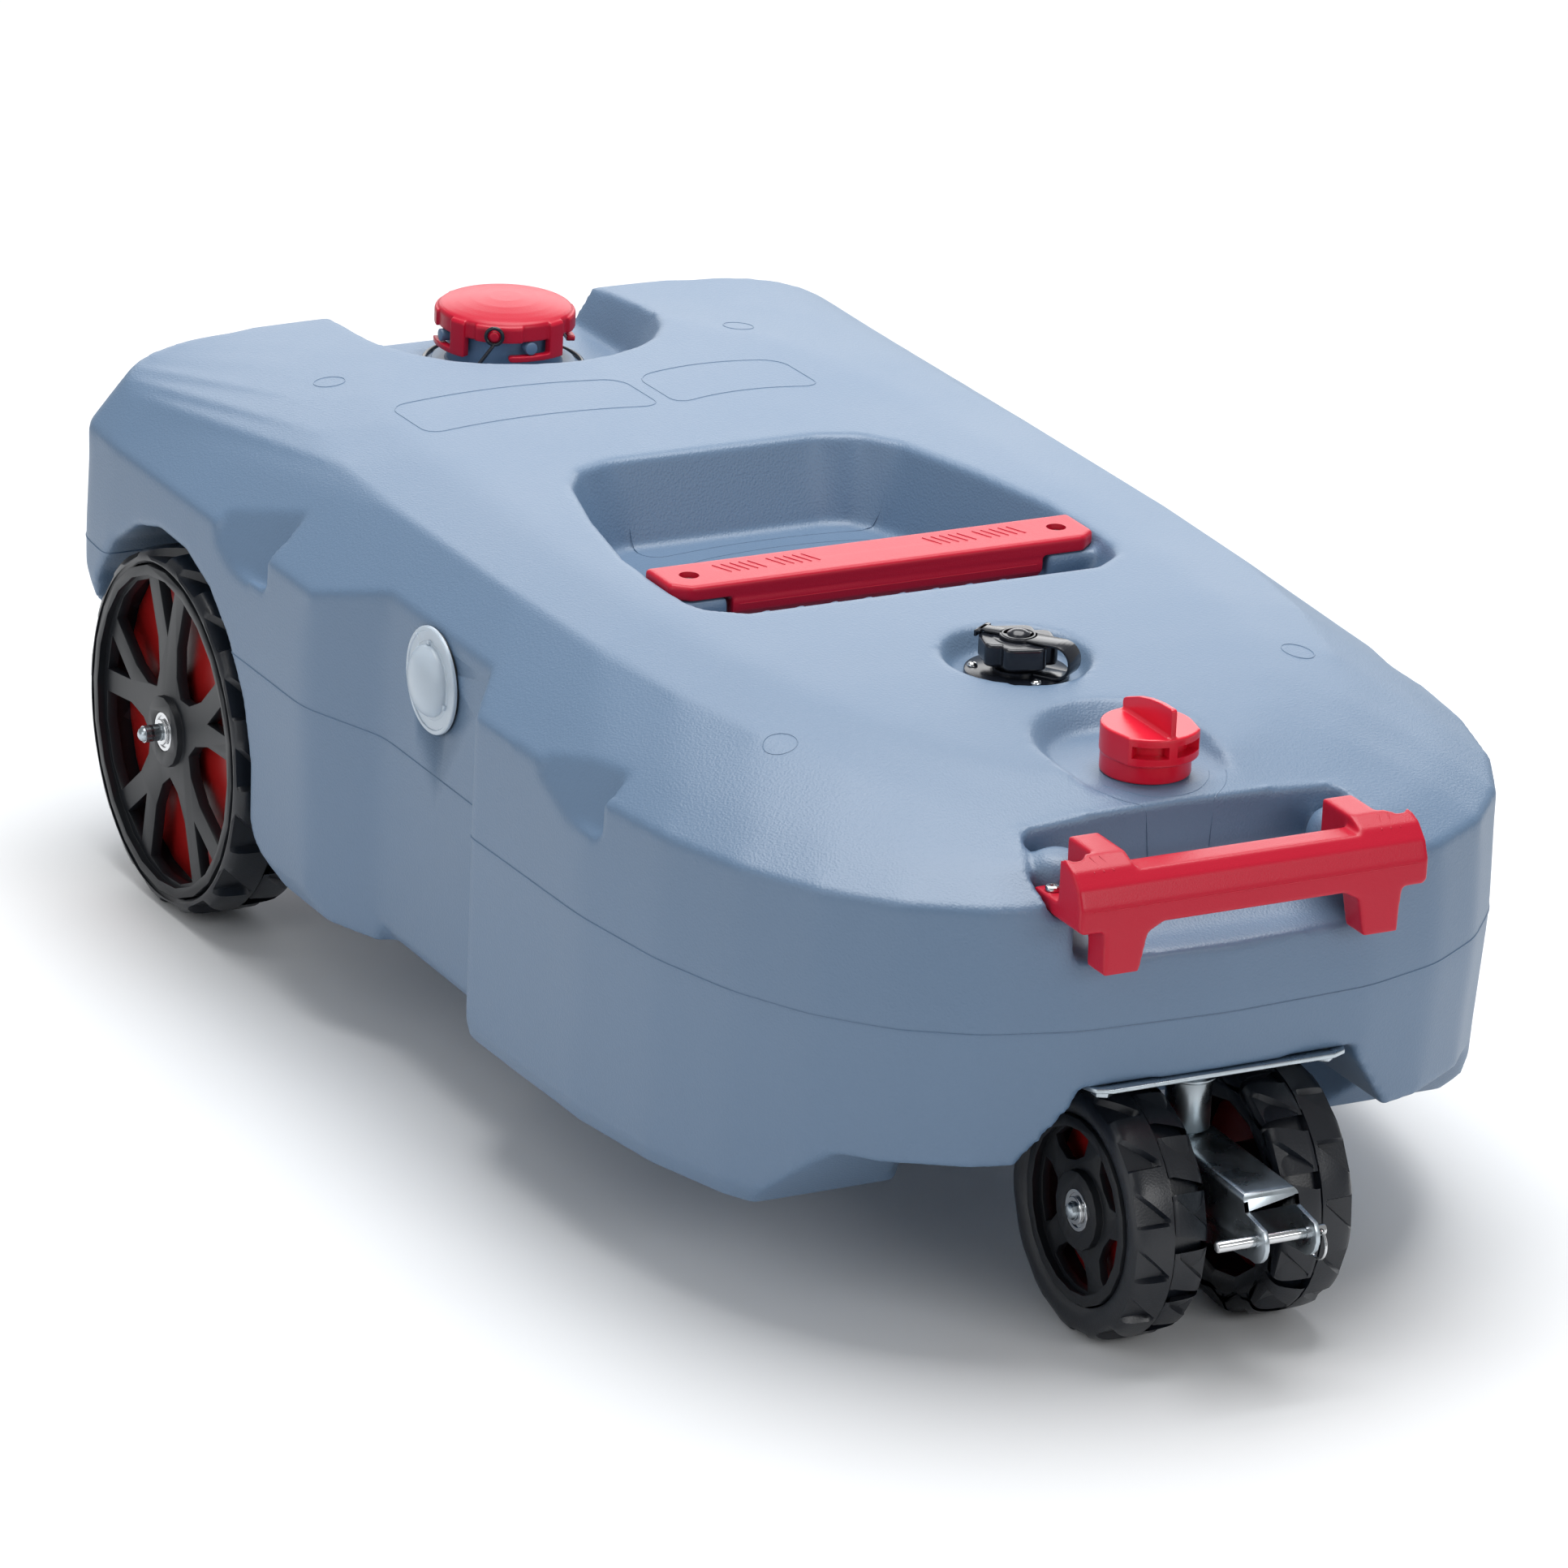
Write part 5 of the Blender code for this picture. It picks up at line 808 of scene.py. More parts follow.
def circle(centre, radius, steps):
    """Points round a circle in plan, the first not repeated."""
    return [(centre[0] + radius * math.cos(a), centre[1] + radius * math.sin(a))
            for a in (math.tau * i / steps for i in range(steps))]


# The mould's marks: round pusher marks, then panels as (x0, y0, x1, y1)
PUSHERS = ((-0.178, 0.448), (0.149, 0.457), (-0.205, -0.285), (0.186, -0.267))
PUSHER_R = 0.011
DECK_PANELS = ((-0.170, 0.315, 0.010, 0.381), (0.022, 0.315, 0.136, 0.381))
POCKET_PANELS = ((-0.070, 0.172, 0.120, 0.238), (-0.052, 0.080, 0.102, 0.156))
UNDER_GRIP = 0.34                       # a height in the pocket below the lift handle


class TANK_OT_shell(bpy.types.Operator):
    """Rebuild the moulded tank with its seam line and mould marks"""
    bl_idname = "waste_tank.shell"
    bl_label = "Tank"

    def execute(self, context):
        look = context.scene.mould_settings
        skin, hollow = tank_skin(look)
        tree = BVHTree.FromBMesh(skin)
        seam = skin.copy()
        bmesh.ops.bisect_plane(seam, geom=seam.verts[:] + seam.edges[:] + seam.faces[:], dist=0.00001,
                               plane_co=(0, 0, SEAM_Z), plane_no=(0, 0, 1), clear_inner=True,
                               clear_outer=True)
        loops = walked(seam)
        seam.free()
        longest = max(loops, key=lambda loop: max(p.y for p in loop) - min(p.y for p in loop))
        bead = tube([longest], look.seam_line, closed=True, sides=1)
        piece("tank_seam_line", bead, "tank", "tank", "tank_plastic")

        outlines = [laid_on(tree, circle(spot, PUSHER_R, 48)) for spot in PUSHERS]
        outlines += [laid_on(tree, plaque(*corners, 0.014, 0.012)) for corners in DECK_PANELS]
        outlines += [laid_on(tree, plaque(*corners, 0.016, 0.010), UNDER_GRIP) for corners in POCKET_PANELS]
        rings = []
        for radius in (0.041, 0.052):
            ring = [(VENT.x + radius * math.cos(a), VENT.y + radius * math.sin(a))
                    for a in (math.radians(200 + 3 * i) for i in range(47))]
            rings.append(laid_on(tree, ring, 0.36))
        marks = added(tube(outlines, 0.0004, closed=True, sides=1), tube(rings, 0.0003, sides=1))
        piece("tank_mould_marks", marks, "tank", "tank", "tank_plastic")
        skin = cut(thinned(skin, look.faces), tucked(hollow, tree))
        piece("tank_skin", skin, "tank", "tank", "tank_plastic", "tank_shell", angle=70)
        return {"FINISHED"}


# Handles

HEAD_R = 0.0050                         # radius of the handles' screw heads
LIFT_SCREW_X = 0.1386
LIFT_GRIP_HALF = 0.117                  # half the length of the lift handle's rolled grip
LIFT_ROLL_R = 0.0145
LIFT_FLANGE = 0.0112
FLUTES, FLUTE_STEP, FLUTE_R = 8, 0.0255, 0.0052
RIB_STEP = 0.0066
RIB_STARTS = (-0.112, -0.072, 0.046, 0.084)
RIBS_IN_A_GROUP = 5
TOW_SCREW_X = 0.1165
BUMPS, BUMP_STEP, BUMP_R = 7, 0.0185, 0.0032
TOW_PARTING_Z = 0.3165


def slanted_ribs(places, half_length, width, height, z, slant):
    """Thin ribs laid on a level face; places are (x, y)."""
    ribs = bmesh.new()
    turn = Matrix.Rotation(slant, 4, "Z")
    for x, y in places:
        added(ribs, block((x - width / 2, y - half_length, z - height),
                          (x + width / 2, y + half_length, z + height), height * 0.8, turn))
    return ribs


def screw_head(x, y, z):
    """A pan-head screw with a round recess."""
    radius = HEAD_R
    profile = [(0.0, 0.0), (radius * 0.45, 0.0), (radius * 0.45, 0.0011), (radius * 0.7, 0.0012),
               (radius * 0.93, 0.0006), (radius, -0.0004), (radius, -0.0020), (0.0, -0.0020)]
    return turned(profile, 36, Matrix.Translation((x, y, z)))


class TANK_OT_top_handle(bpy.types.Operator):
    """Build the red lift handle with its roll, ribs, flutes and screws"""
    bl_idname = "waste_tank.top_handle"
    bl_label = "Lift handle"

    def execute(self, context):
        look = context.scene.red_settings
        low, high = TOP_HANDLE
        mid = (low.y + high.y) / 2
        top = high.z
        half = (high.y - low.y) / 2
        roll_z = top - 0.0165
        roll = arc((mid - half + LIFT_ROLL_R, roll_z), LIFT_ROLL_R, math.pi, math.radians(84), 10)
        section = [(mid + half - 0.0025, top - 0.0008), (mid + half, top - 0.0035),
                   (mid + half, low.z + 0.006), (mid + half - 0.006, low.z), (mid - half + 0.006, low.z),
                   (mid - half + 0.0006, low.z + 0.005)]
        section += roll + [(mid + 0.004, top - 0.0008)]
        bar = slab(section, -LIFT_GRIP_HALF, LIFT_GRIP_HALF, axis="X")
        plan = [(high.x, mid + half), (low.x, mid + half), (low.x, mid - half + 0.010),
                (low.x + 0.012, mid - half), (high.x - 0.012, mid - half), (high.x, mid - half + 0.010)]
        plate = slab(plan, top - LIFT_FLANGE, top - 0.0006)
        shown = [e for e in plate.edges if e.calc_length() < 0.02 or
                 (e.verts[0].co.z > top - 0.001 and e.verts[1].co.z > top - 0.001)]
        handle = melted(added(bar, rounded(plate, shown, 0.0028, 3)), look.cell, 3)
        cutters = [rod(0.0068, top - 0.0056, top + 0.01, (side * LIFT_SCREW_X, mid), segments=40)
                   for side in SIDES.values()]
        for i in range(FLUTES):
            x = (i - (FLUTES - 1) / 2) * FLUTE_STEP
            cutters.append(rod(FLUTE_R, mid - 0.03, mid + 0.03, (x, low.z - 0.0034), axis="Y", segments=24))
        handle = thinned(cut(handle, *cutters), 60000)
        places = [(first + RIB_STEP * i, mid + 0.0045)
                  for first in RIB_STARTS for i in range(RIBS_IN_A_GROUP)]
        ribs = slanted_ribs(places, 0.0085, look.rib_width, look.rib_height, top - 0.0007, math.radians(22))
        parting = tube([[(x, mid - half + 0.0002, roll_z) for x in (-0.112, 0.0, 0.112)]], 0.0004, sides=1)
        piece("lift_handle", added(handle, ribs, parting), "handle", "tank", "red_plastic", "top_handle")
        heads = bmesh.new()
        for side in SIDES.values():
            added(heads, screw_head(side * LIFT_SCREW_X, mid, top - 0.0045))
        piece("lift_handle_screws", heads, "steel", "tank", "bright_steel",
              "top_handle_screw_left", "top_handle_screw_right")
        return {"FINISHED"}


class TANK_OT_front_handle(bpy.types.Operator):
    """Build the red tow-end handle with its blocks, legs and finger bumps"""
    bl_idname = "waste_tank.front_handle"
    bl_label = "Tow handle"

    def execute(self, context):
        look = context.scene.red_settings
        low, high = FRONT_HANDLE
        handle = merged("front_handle")
        for i in range(BUMPS):
            x = (i - (BUMPS - 1) / 2) * BUMP_STEP
            added(handle, rod(BUMP_R, low.y + 0.006, low.y + 0.020, (x, 0.3040), axis="Y", segments=20,
                              edge=0.001))
        cutters = [rod(0.0078, 0.3305, 0.36, (side * TOW_SCREW_X, high.y - 0.0285), segments=36,
                       end_radius=0.0090) for side in SIDES.values()]
        handle = thinned(melted(cut(handle, *cutters), look.cell, 12), 90000)
        tree = BVHTree.FromBMesh(handle)
        lines = []
        for side in SIDES.values():
            for i in range(3):
                x = side * (0.0985 + 0.0068 * i)
                lines.append(laid_on(tree, [(x + side * (y - low.y - 0.018) * 0.35, y)
                                            for y in (low.y + 0.0125, low.y + 0.0245)], 0.4))
        ribs = tube(lines, look.rib_height, sides=2)
        seam = []
        for i in range(61):
            x = -0.117 + 0.234 * i / 60
            hit = tree.ray_cast(Vector((x, low.y - 0.1, TOW_PARTING_Z)), Vector((0, 1, 0)))[0]
            if hit is not None and hit.y < low.y + 0.01:
                seam.append(hit)
        parting = tube([seam], 0.0003, sides=1)
        piece("tow_handle", added(handle, ribs, parting), "handle", "tank", "red_plastic", "front_handle")
        heads = bmesh.new()
        for side in SIDES:
            node = f"front_handle_screw_{side}"
            spot = middle(node)
            added(heads, screw_head(spot.x, spot.y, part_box(node)[1].z - 0.0012))
        piece("tow_handle_screws", heads, "steel", "tank", "bright_steel",
              "front_handle_screw_left", "front_handle_screw_right")
        return {"FINISHED"}


# Wheels

POCKET_APEX = 0.13          # how far from the middle a pocket starts, as a share of the half width
POCKET_REACH = 0.60         # how much of the pitch it takes up at the shoulder
POCKET_STEP = 0.05          # share of the pitch that its walls lean over
POINTS_A_LUG = 6
BEARING_BORE_R = 0.0064
WASHER_BORE_R = 0.0063
REAR_BEAD_R, FRONT_BEAD_R = 0.1183, 0.0625


def pocket(place, across):
    """Where a ring of points lies in its pitch, and how deep, at a distance from the tyre's middle."""
    reach = POCKET_REACH * max(0.0, across - POCKET_APEX) / (1 - POCKET_APEX)
    depth = min(1.0, max(0.0, (across - POCKET_APEX) / 0.10)) ** 0.6
    shares = (0.0, POCKET_STEP, POCKET_STEP + reach, 2 * POCKET_STEP + reach + 0.01)
    if place < 4:
        return shares[place], depth if place in (1, 2) else 0.0
    return shares[3] + (1 - shares[3]) * (place - 3) / 3, 0.0


def tread(width, tip_r, bead_r, lugs, groove):
    """A tyre with staggered lugs: three-sided pockets open from near the middle to each shoulder."""
    half = width / 2
    side = [(half * share, tip_r) for share in (0.0, 0.035, 0.12, 0.15, 0.19, 0.26)]
    side += [(half * 0.45, tip_r - 0.0002), (half * 0.64, tip_r - 0.0006), (half * 0.80, tip_r - 0.0014),
             (half * 0.90, tip_r - 0.0028), (half * 0.96, tip_r - 0.0048), (half, tip_r - 0.0082)]
    shoulder_r = side[-1][1]
    wall = [(half, shoulder_r - (shoulder_r - bead_r) * 0.30), (half * 0.96, bead_r + 0.0034),
            (half * 0.92, bead_r + 0.0012), (half * 0.90, bead_r)]
    rows = side + wall
    profile = [(r, z) for z, r in reversed(rows)] + [(r, -z) for z, r in rows[1:]]
    count = POINTS_A_LUG
    steps = lugs * count
    bm = hoop(profile, steps)
    pitch = math.tau / lugs
    for vert in bm.verts:
        radius = Vector(vert.co[:2]).length
        across = abs(vert.co.z) / half
        step = round(math.degrees(math.atan2(vert.co.y, vert.co.x)) / (360 / steps)) % steps
        lug, place = divmod(step, count)
        outer = vert.co.z > 0
        on_tread = radius > shoulder_r - 0.0005
        share, depth = pocket(place, across)
        if radius < bead_r + 0.004:
            share, depth = place / count, 0.0
        drop = groove * depth
        if on_tread:
            drop = max(0.0, drop - (tip_r - radius) * depth)
        else:
            drop *= 0.30
        if on_tread and across < 0.02:
            drop = 0.0005
        angle = pitch * (lug + (share if outer else -share) + (0.0 if outer else 0.5))
        radius -= drop
        vert.co = (radius * math.cos(angle), radius * math.sin(angle), vert.co.z)
    bmesh.ops.recalc_face_normals(bm, faces=bm.faces)
    return bm


def bearing(radius, z, matrix):
    """A shielded ball bearing's face: outer race, shield, inner race."""
    bore = BEARING_BORE_R
    profile = [(bore, z - 0.006), (bore, z - 0.0004), (bore + 0.0004, z), (bore + 0.0018, z),
               (bore + 0.0022, z - 0.0004), (bore + 0.0023, z - 0.0010), (radius - 0.0030, z - 0.0010),
               (radius - 0.0029, z - 0.0004), (radius - 0.0025, z), (radius - 0.0004, z),
               (radius, z - 0.0004), (radius, z - 0.006)]
    return hoop(profile, 64, matrix)


def wheel_group(kind, end, groove, lugs, bead_r):
    """Tyre, rim, disc and bearings of one wheel."""
    side = SIDES[end]
    body = f"{kind}_wheel_{end}"
    low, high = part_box(f"{kind}_tyre_{end}")
    tyre = tread(high.x - low.x, (high.z - low.z) / 2, bead_r + 0.0004, lugs, groove)
    moved(tyre, facing((low + high) / 2, side))
    piece(f"{kind}_tread_{end}", tyre, "rubber", body, "tyre_rubber", f"{kind}_tyre_{end}", angle=30)
    rim = edged(merged(f"{kind}_rim_{end}"), 0.0008, 30)
    piece(f"{kind}_wheel_rim_{end}", rim, "rim", body, "black_plastic", f"{kind}_rim_{end}", angle=40)
    disc = edged(merged(f"{kind}_disc_{end}"), 0.0006, 40)
    piece(f"{kind}_wheel_disc_{end}", disc, "disc", body, "dark_red_plastic", f"{kind}_disc_{end}", angle=45)
    face = bmesh.new()
    for where, outward in (("outer", side), ("inner", -side)):
        low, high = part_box(f"{kind}_bearing_{end}_{where}")
        added(face, bearing((high.y - low.y) / 2, (high.x - low.x) / 2, facing((low + high) / 2, outward)))
    piece(f"{kind}_wheel_bearings_{end}", face, "steel", body, "bright_steel",
          f"{kind}_bearing_{end}_outer", f"{kind}_bearing_{end}_inner")


def axle_group(kind, inset, tip_of, body):
    """An axle with its turned ends and its washers; the ends start an inset from its tips."""
    low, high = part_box(f"{kind}_axle")
    radius = (high.z - low.z) / 2
    spot = ((low.y + high.y) / 2, (low.z + high.z) / 2)
    axle = rod(radius, low.x + inset, high.x - inset, spot, axis="X", segments=40)
    for side in SIDES.values():
        added(axle, turned(tip_of(radius), 40, facing((side * (high.x - inset), *spot), side)))
    piece(f"{kind}_wheel_axle", axle, "zinc", body, "zinc_steel", f"{kind}_axle")
    rings = bmesh.new()
    nodes = [f"{kind}_clip_{end}" for end in SIDES]
    for node in nodes:
        low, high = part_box(node)
        half, radius = (high.x - low.x) / 2, (high.y - low.y) / 2
        profile = [(WASHER_BORE_R, -half), (WASHER_BORE_R, half), (radius - 0.0004, half),
                   (radius, half - 0.0004), (radius, 0.0004 - half), (radius - 0.0004, -half)]
        added(rings, hoop(profile, 48, facing((low + high) / 2, 1)))
    piece(f"{kind}_axle_washers", rings, "steel", body, "bright_steel", *nodes)


def domed_tip(radius):
    """The rear axle's end: a peened head over a shoulder."""
    return [(0.0, 0.004), (0.0022, 0.0037), (0.0042, 0.0024), (0.0053, 0.0002), (0.0051, -0.0022),
            (0.0044, -0.0034), (radius, -0.0040), (radius, -0.006), (0.0, -0.006)]


def low_tip(radius):
    """The caster axle's end: a low dome."""
    return [(0.0, 0.003), (0.0030, 0.0027), (0.0048, 0.0018), (radius - 0.0003, 0.0), (radius, -0.002),
            (0.0, -0.002)]


class TANK_OT_rear_wheels(bpy.types.Operator):
    """Build both rear wheels and their axle"""
    bl_idname = "waste_tank.rear_wheels"
    bl_label = "Rear wheels"

    def execute(self, context):
        look = context.scene.wheel_settings
        for end in SIDES:
            wheel_group("rear", end, look.rear_groove, look.rear_lugs, REAR_BEAD_R)
        axle_group("rear", 0.004, domed_tip, "tank")
        return {"FINISHED"}


class TANK_OT_front_wheels(bpy.types.Operator):
    """Build both caster wheels and their axle"""
    bl_idname = "waste_tank.front_wheels"
    bl_label = "Caster wheels"

    def execute(self, context):
        look = context.scene.wheel_settings
        for end in SIDES:
            wheel_group("front", end, look.front_groove, look.front_lugs, FRONT_BEAD_R)
        axle_group("front", 0.003, low_tip, "caster_swivel")
        return {"FINISHED"}


# Caster and tow channel

KINGPIN_BORE_R = 0.0101
PIN_EYE_R = 0.0022
COIL_TURNS, COIL_STEPS = 1.96, 144      # the split ring's wire goes round not quite twice


class TANK_OT_caster(bpy.types.Operator):
    """Build the caster's plates, collar, tow channel and pull pin"""
    bl_idname = "waste_tank.caster"
    bl_label = "Caster and tow channel"

    def execute(self, context):
        edge = context.scene.metal_settings.edge
        for name, node in (("caster_top_plate", "caster_plate"), ("caster_king_plate", "kingpin_plate"),
                           ("caster_king_nut", "kingpin_nut")):
            piece(name, edged(merged(node), edge, 30), "zinc", "tank", "zinc_steel", node, angle=40)
        bolts = bmesh.new()
        names = [f"caster_bolt_{i}" for i in range(1, 5)]
        for node in names:
            added(bolts, edged(merged(node), 0.0005, 40))
        piece("caster_plate_bolts", bolts, "zinc", "tank", "zinc_steel", *names, angle=35)
        for name, node, body in (("caster_race", "thrust_washer", "tank"),
                                 ("caster_sleeve", "caster_collar", "caster_swivel")):
            low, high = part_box(node)
            outer = (high.x - low.x) / 2
            edge_r = min(0.0012, (high.z - low.z) / 3)
            profile = [(KINGPIN_BORE_R, low.z), (KINGPIN_BORE_R, high.z), (outer - edge_r, high.z),
                       (outer - edge_r * 0.3, high.z - edge_r * 0.3), (outer, high.z - edge_r),
                       (outer, low.z + edge_r), (outer - edge_r * 0.3, low.z + edge_r * 0.3),
                       (outer - edge_r, low.z)]
            piece(name, hoop(profile, 64, upright(middle(node))), "zinc", body, "zinc_steel", node)
        channel = flattened(merged("tow_channel"), FLAT)
        low, high = CHANNEL
        bends = [e for e in channel.edges if all(v.co.z > high.z - 0.004 and abs(v.co.x) > high.x - 0.0005
                                                 for v in e.verts)]
        rounded(channel, bends, 0.0045, 5, clamp_overlap=True)
        piece("tow_channel_body", edged(channel, edge, 35), "zinc", "caster_swivel", "zinc_steel",
              "tow_channel", angle=35)
        low, high = PIN
        ring_low, ring_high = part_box("pin_ring")
        centre = (ring_low + ring_high) / 2
        spot = ((low.y + high.y) / 2, (low.z + high.z) / 2)
        radius = (high.z - low.z) / 2
        shank = rod(radius, low.x, high.x, spot, axis="X", segments=40, edge=0.0010)
        shank = cut(shank, rod(PIN_EYE_R, spot[0] - 0.01, spot[0] + 0.01, (centre.x, spot[1]), axis="Y",
                               segments=24))
        piece("pull_pin_shank", shank, "steel", "pull_pin", "bright_steel", "tow_pin")
        half = (ring_high.x - ring_low.x) / 2
        wire = half * 0.52
        ring_r = (ring_high.z - ring_low.z) / 2 - wire
        turns = []
        for i in range(COIL_STEPS + 1):
            a = math.tau * COIL_TURNS * i / COIL_STEPS
            turns.append((centre.x + (half - wire) * (i / (COIL_STEPS / 2) - 1),
                          centre.y + ring_r * math.sin(a), centre.z + ring_r * math.cos(a)))
        piece("pull_pin_ring", tube([turns], wire, sides=3), "steel", "split_ring", "bright_steel",
              "pin_ring")
        return {"FINISHED"}


# Inlet

STUDS = 4
STUD_TURN = math.radians(-93)
STUD_Z = 0.3555
NECK_BORE_R, NECK_R, NECK_FLANGE_R = 0.0365, 0.0410, 0.0520
SKIRT_Z = 0.3604                        # the foot of the cap's skirt
CAP_RIM_Z = 0.3748                      # the foot of its dome
HOOK_LOW, HOOK_HIGH = 0.3464, 0.3506
HOOK_IN_R, HOOK_OUT_R = 0.0448, 0.0510
EYE_TURN = math.radians(-124)           # where the tether's eye sits on the cap
EYE_Z = 0.3665
EYE_R = 0.0060
TETHER_R = 0.0014
LOOP_R = 0.0575                         # the tether's loop round the neck


def bayonet_cap(stud_turns):
    """The domed cap with its pads, and a hook that reaches under each of the neck's studs."""
    dome = [(0.0, 0.3803), (0.012, 0.3801), (0.024, 0.3791), (0.034, 0.3776), (0.041, 0.3761),
            (0.0455, CAP_RIM_Z), (0.0478, 0.3734), (0.0487, 0.3712), (0.0487, SKIRT_Z + 0.0006),
            (0.0481, SKIRT_Z), (0.0445, SKIRT_Z), (0.0445, 0.3722), (0.0, 0.3722)]
    pad = [(0.0465, SKIRT_Z), (0.0465, CAP_RIM_Z - 0.0025), (0.0497, CAP_RIM_Z - 0.0028),
           (0.0506, CAP_RIM_Z - 0.0048), (0.0506, SKIRT_Z)]
    shank = [(HOOK_IN_R, HOOK_LOW), (HOOK_IN_R, CAP_RIM_Z - 0.002), (0.0496, CAP_RIM_Z - 0.0018),
             (0.0512, CAP_RIM_Z - 0.0040), (0.0512, HOOK_LOW)]
    prong = [(HOOK_IN_R, HOOK_LOW), (HOOK_IN_R, HOOK_HIGH), (HOOK_OUT_R, HOOK_HIGH), (HOOK_OUT_R, HOOK_LOW)]
    toe_r = (HOOK_HIGH - HOOK_LOW) / 2
    cap = turned(dome, 120)
    for stud in stud_turns:
        arm = stud + math.radians(25)
        tip = stud - math.radians(17)
        added(cap, turned(pad, 20, None, arm + math.radians(17), math.radians(40)),
              turned(shank, 8, None, arm - math.radians(8), math.radians(15)),
              turned(prong, 14, None, tip, math.radians(40)))
        toe = rod(toe_r, HOOK_IN_R, HOOK_OUT_R, (0, HOOK_LOW + toe_r), axis="X", segments=20)
        added(cap, moved(toe, about_z(tip)))
    cap = thinned(melted(cap, 0.0007, 2), 90000)
    for turn in (EYE_TURN, EYE_TURN + math.pi):
        knob = rod(0.0037, 0.048, 0.0560, (0, EYE_Z), axis="X", segments=32, edge=0.0014, edge_steps=4)
        added(cap, moved(knob, about_z(turn)))
    return cap


def keeper():
    """The black tether: a loop round the neck, an eye on the cap's knob and the strand between."""
    loop_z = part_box("cap_tether")[0].z + TETHER_R
    loop = [(x, y, loop_z) for x, y in circle((0, 0), LOOP_R, 72)]
    out = Vector((math.cos(EYE_TURN), math.sin(EYE_TURN), 0))
    across = Vector((-out.y, out.x, 0))
    centre = out * 0.0542 + UP * EYE_Z
    eye = [centre + across * x + UP * z for x, z in circle((0, 0), EYE_R, 32)]
    start = centre - UP * EYE_R
    landing = Matrix.Rotation(math.radians(-22), 3, "Z") @ out * LOOP_R
    end = Vector((landing.x, landing.y, loop_z))
    strand = [start.lerp(end, i / 16) + out * 0.006 * math.sin(math.pi * i / 16) for i in range(17)]
    return added(tube([loop, eye], TETHER_R, closed=True, sides=4), tube([strand], TETHER_R * 0.95, sides=4))


class TANK_OT_inlet(bpy.types.Operator):
    """Build the sewer neck, its bayonet cap and the tether"""
    bl_idname = "waste_tank.inlet"
    bl_label = "Inlet and bayonet cap"

    def execute(self, context):
        at = upright(INLET)
        low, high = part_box("inlet_neck")
        top = high.z
        profile = [(NECK_BORE_R, low.z), (NECK_BORE_R, top - 0.0006), (0.0371, top), (0.0404, top),
                   (NECK_R, top - 0.0006), (NECK_R, low.z + 0.0060), (0.0425, low.z + 0.0042),
                   (0.0515, low.z + 0.0040), (NECK_FLANGE_R, low.z + 0.0034), (NECK_FLANGE_R, low.z)]
        neck = hoop(profile, 96, at)
        stud_turns = [STUD_TURN + math.tau * i / STUDS for i in range(STUDS)]
        for turn in stud_turns:
            stud = rod(0.0045, 0.039, 0.0502, (0, STUD_Z), axis="X", segments=28, edge=0.0008)
            added(neck, moved(stud, at @ about_z(turn)))
        piece("sewer_neck", neck, "neck", "tank", "tank_plastic", "inlet_neck")
        low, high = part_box("inlet_gasket")
        ring = [(0.0367, low.z), (0.0367, high.z), (0.0423, high.z), (0.0423, low.z)]
        piece("sewer_cap_gasket", hoop(ring, 72, at), "seal", "inlet_closure", "seal_rubber", "inlet_gasket")
        piece("bayonet_cap", moved(bayonet_cap(stud_turns), at), "handle", "inlet_closure", "red_plastic",
              "inlet_cap", angle=50)
        piece("cap_keeper", moved(keeper(), at), "black", "inlet_closure", "black_plastic", "cap_tether")
        return {"FINISHED"}


# Vent

VISOR_HALF = math.radians(50)
AIR_WINDOW = (math.radians(5), math.radians(46))
VENT_HEAD_R = 0.0301
VENT_COLLAR_R = 0.0293
VENT_CAP_BORE_R = 0.0223
FIN_BACK_X, FIN_FRONT_X, FIN_HALF = -0.0285, 0.0325, 0.0020
FIN_TIP_R = 0.0022


def visor_outline(round_r, reach):
    """Plan of the vent cap's head: round, with a wider arc over the air windows."""
    blend = VISOR_HALF + math.acos(round_r / reach)
    return (arc((0, 0), reach, -VISOR_HALF, VISOR_HALF, 20)
            + arc((0, 0), round_r, blend, math.tau - blend, 40))


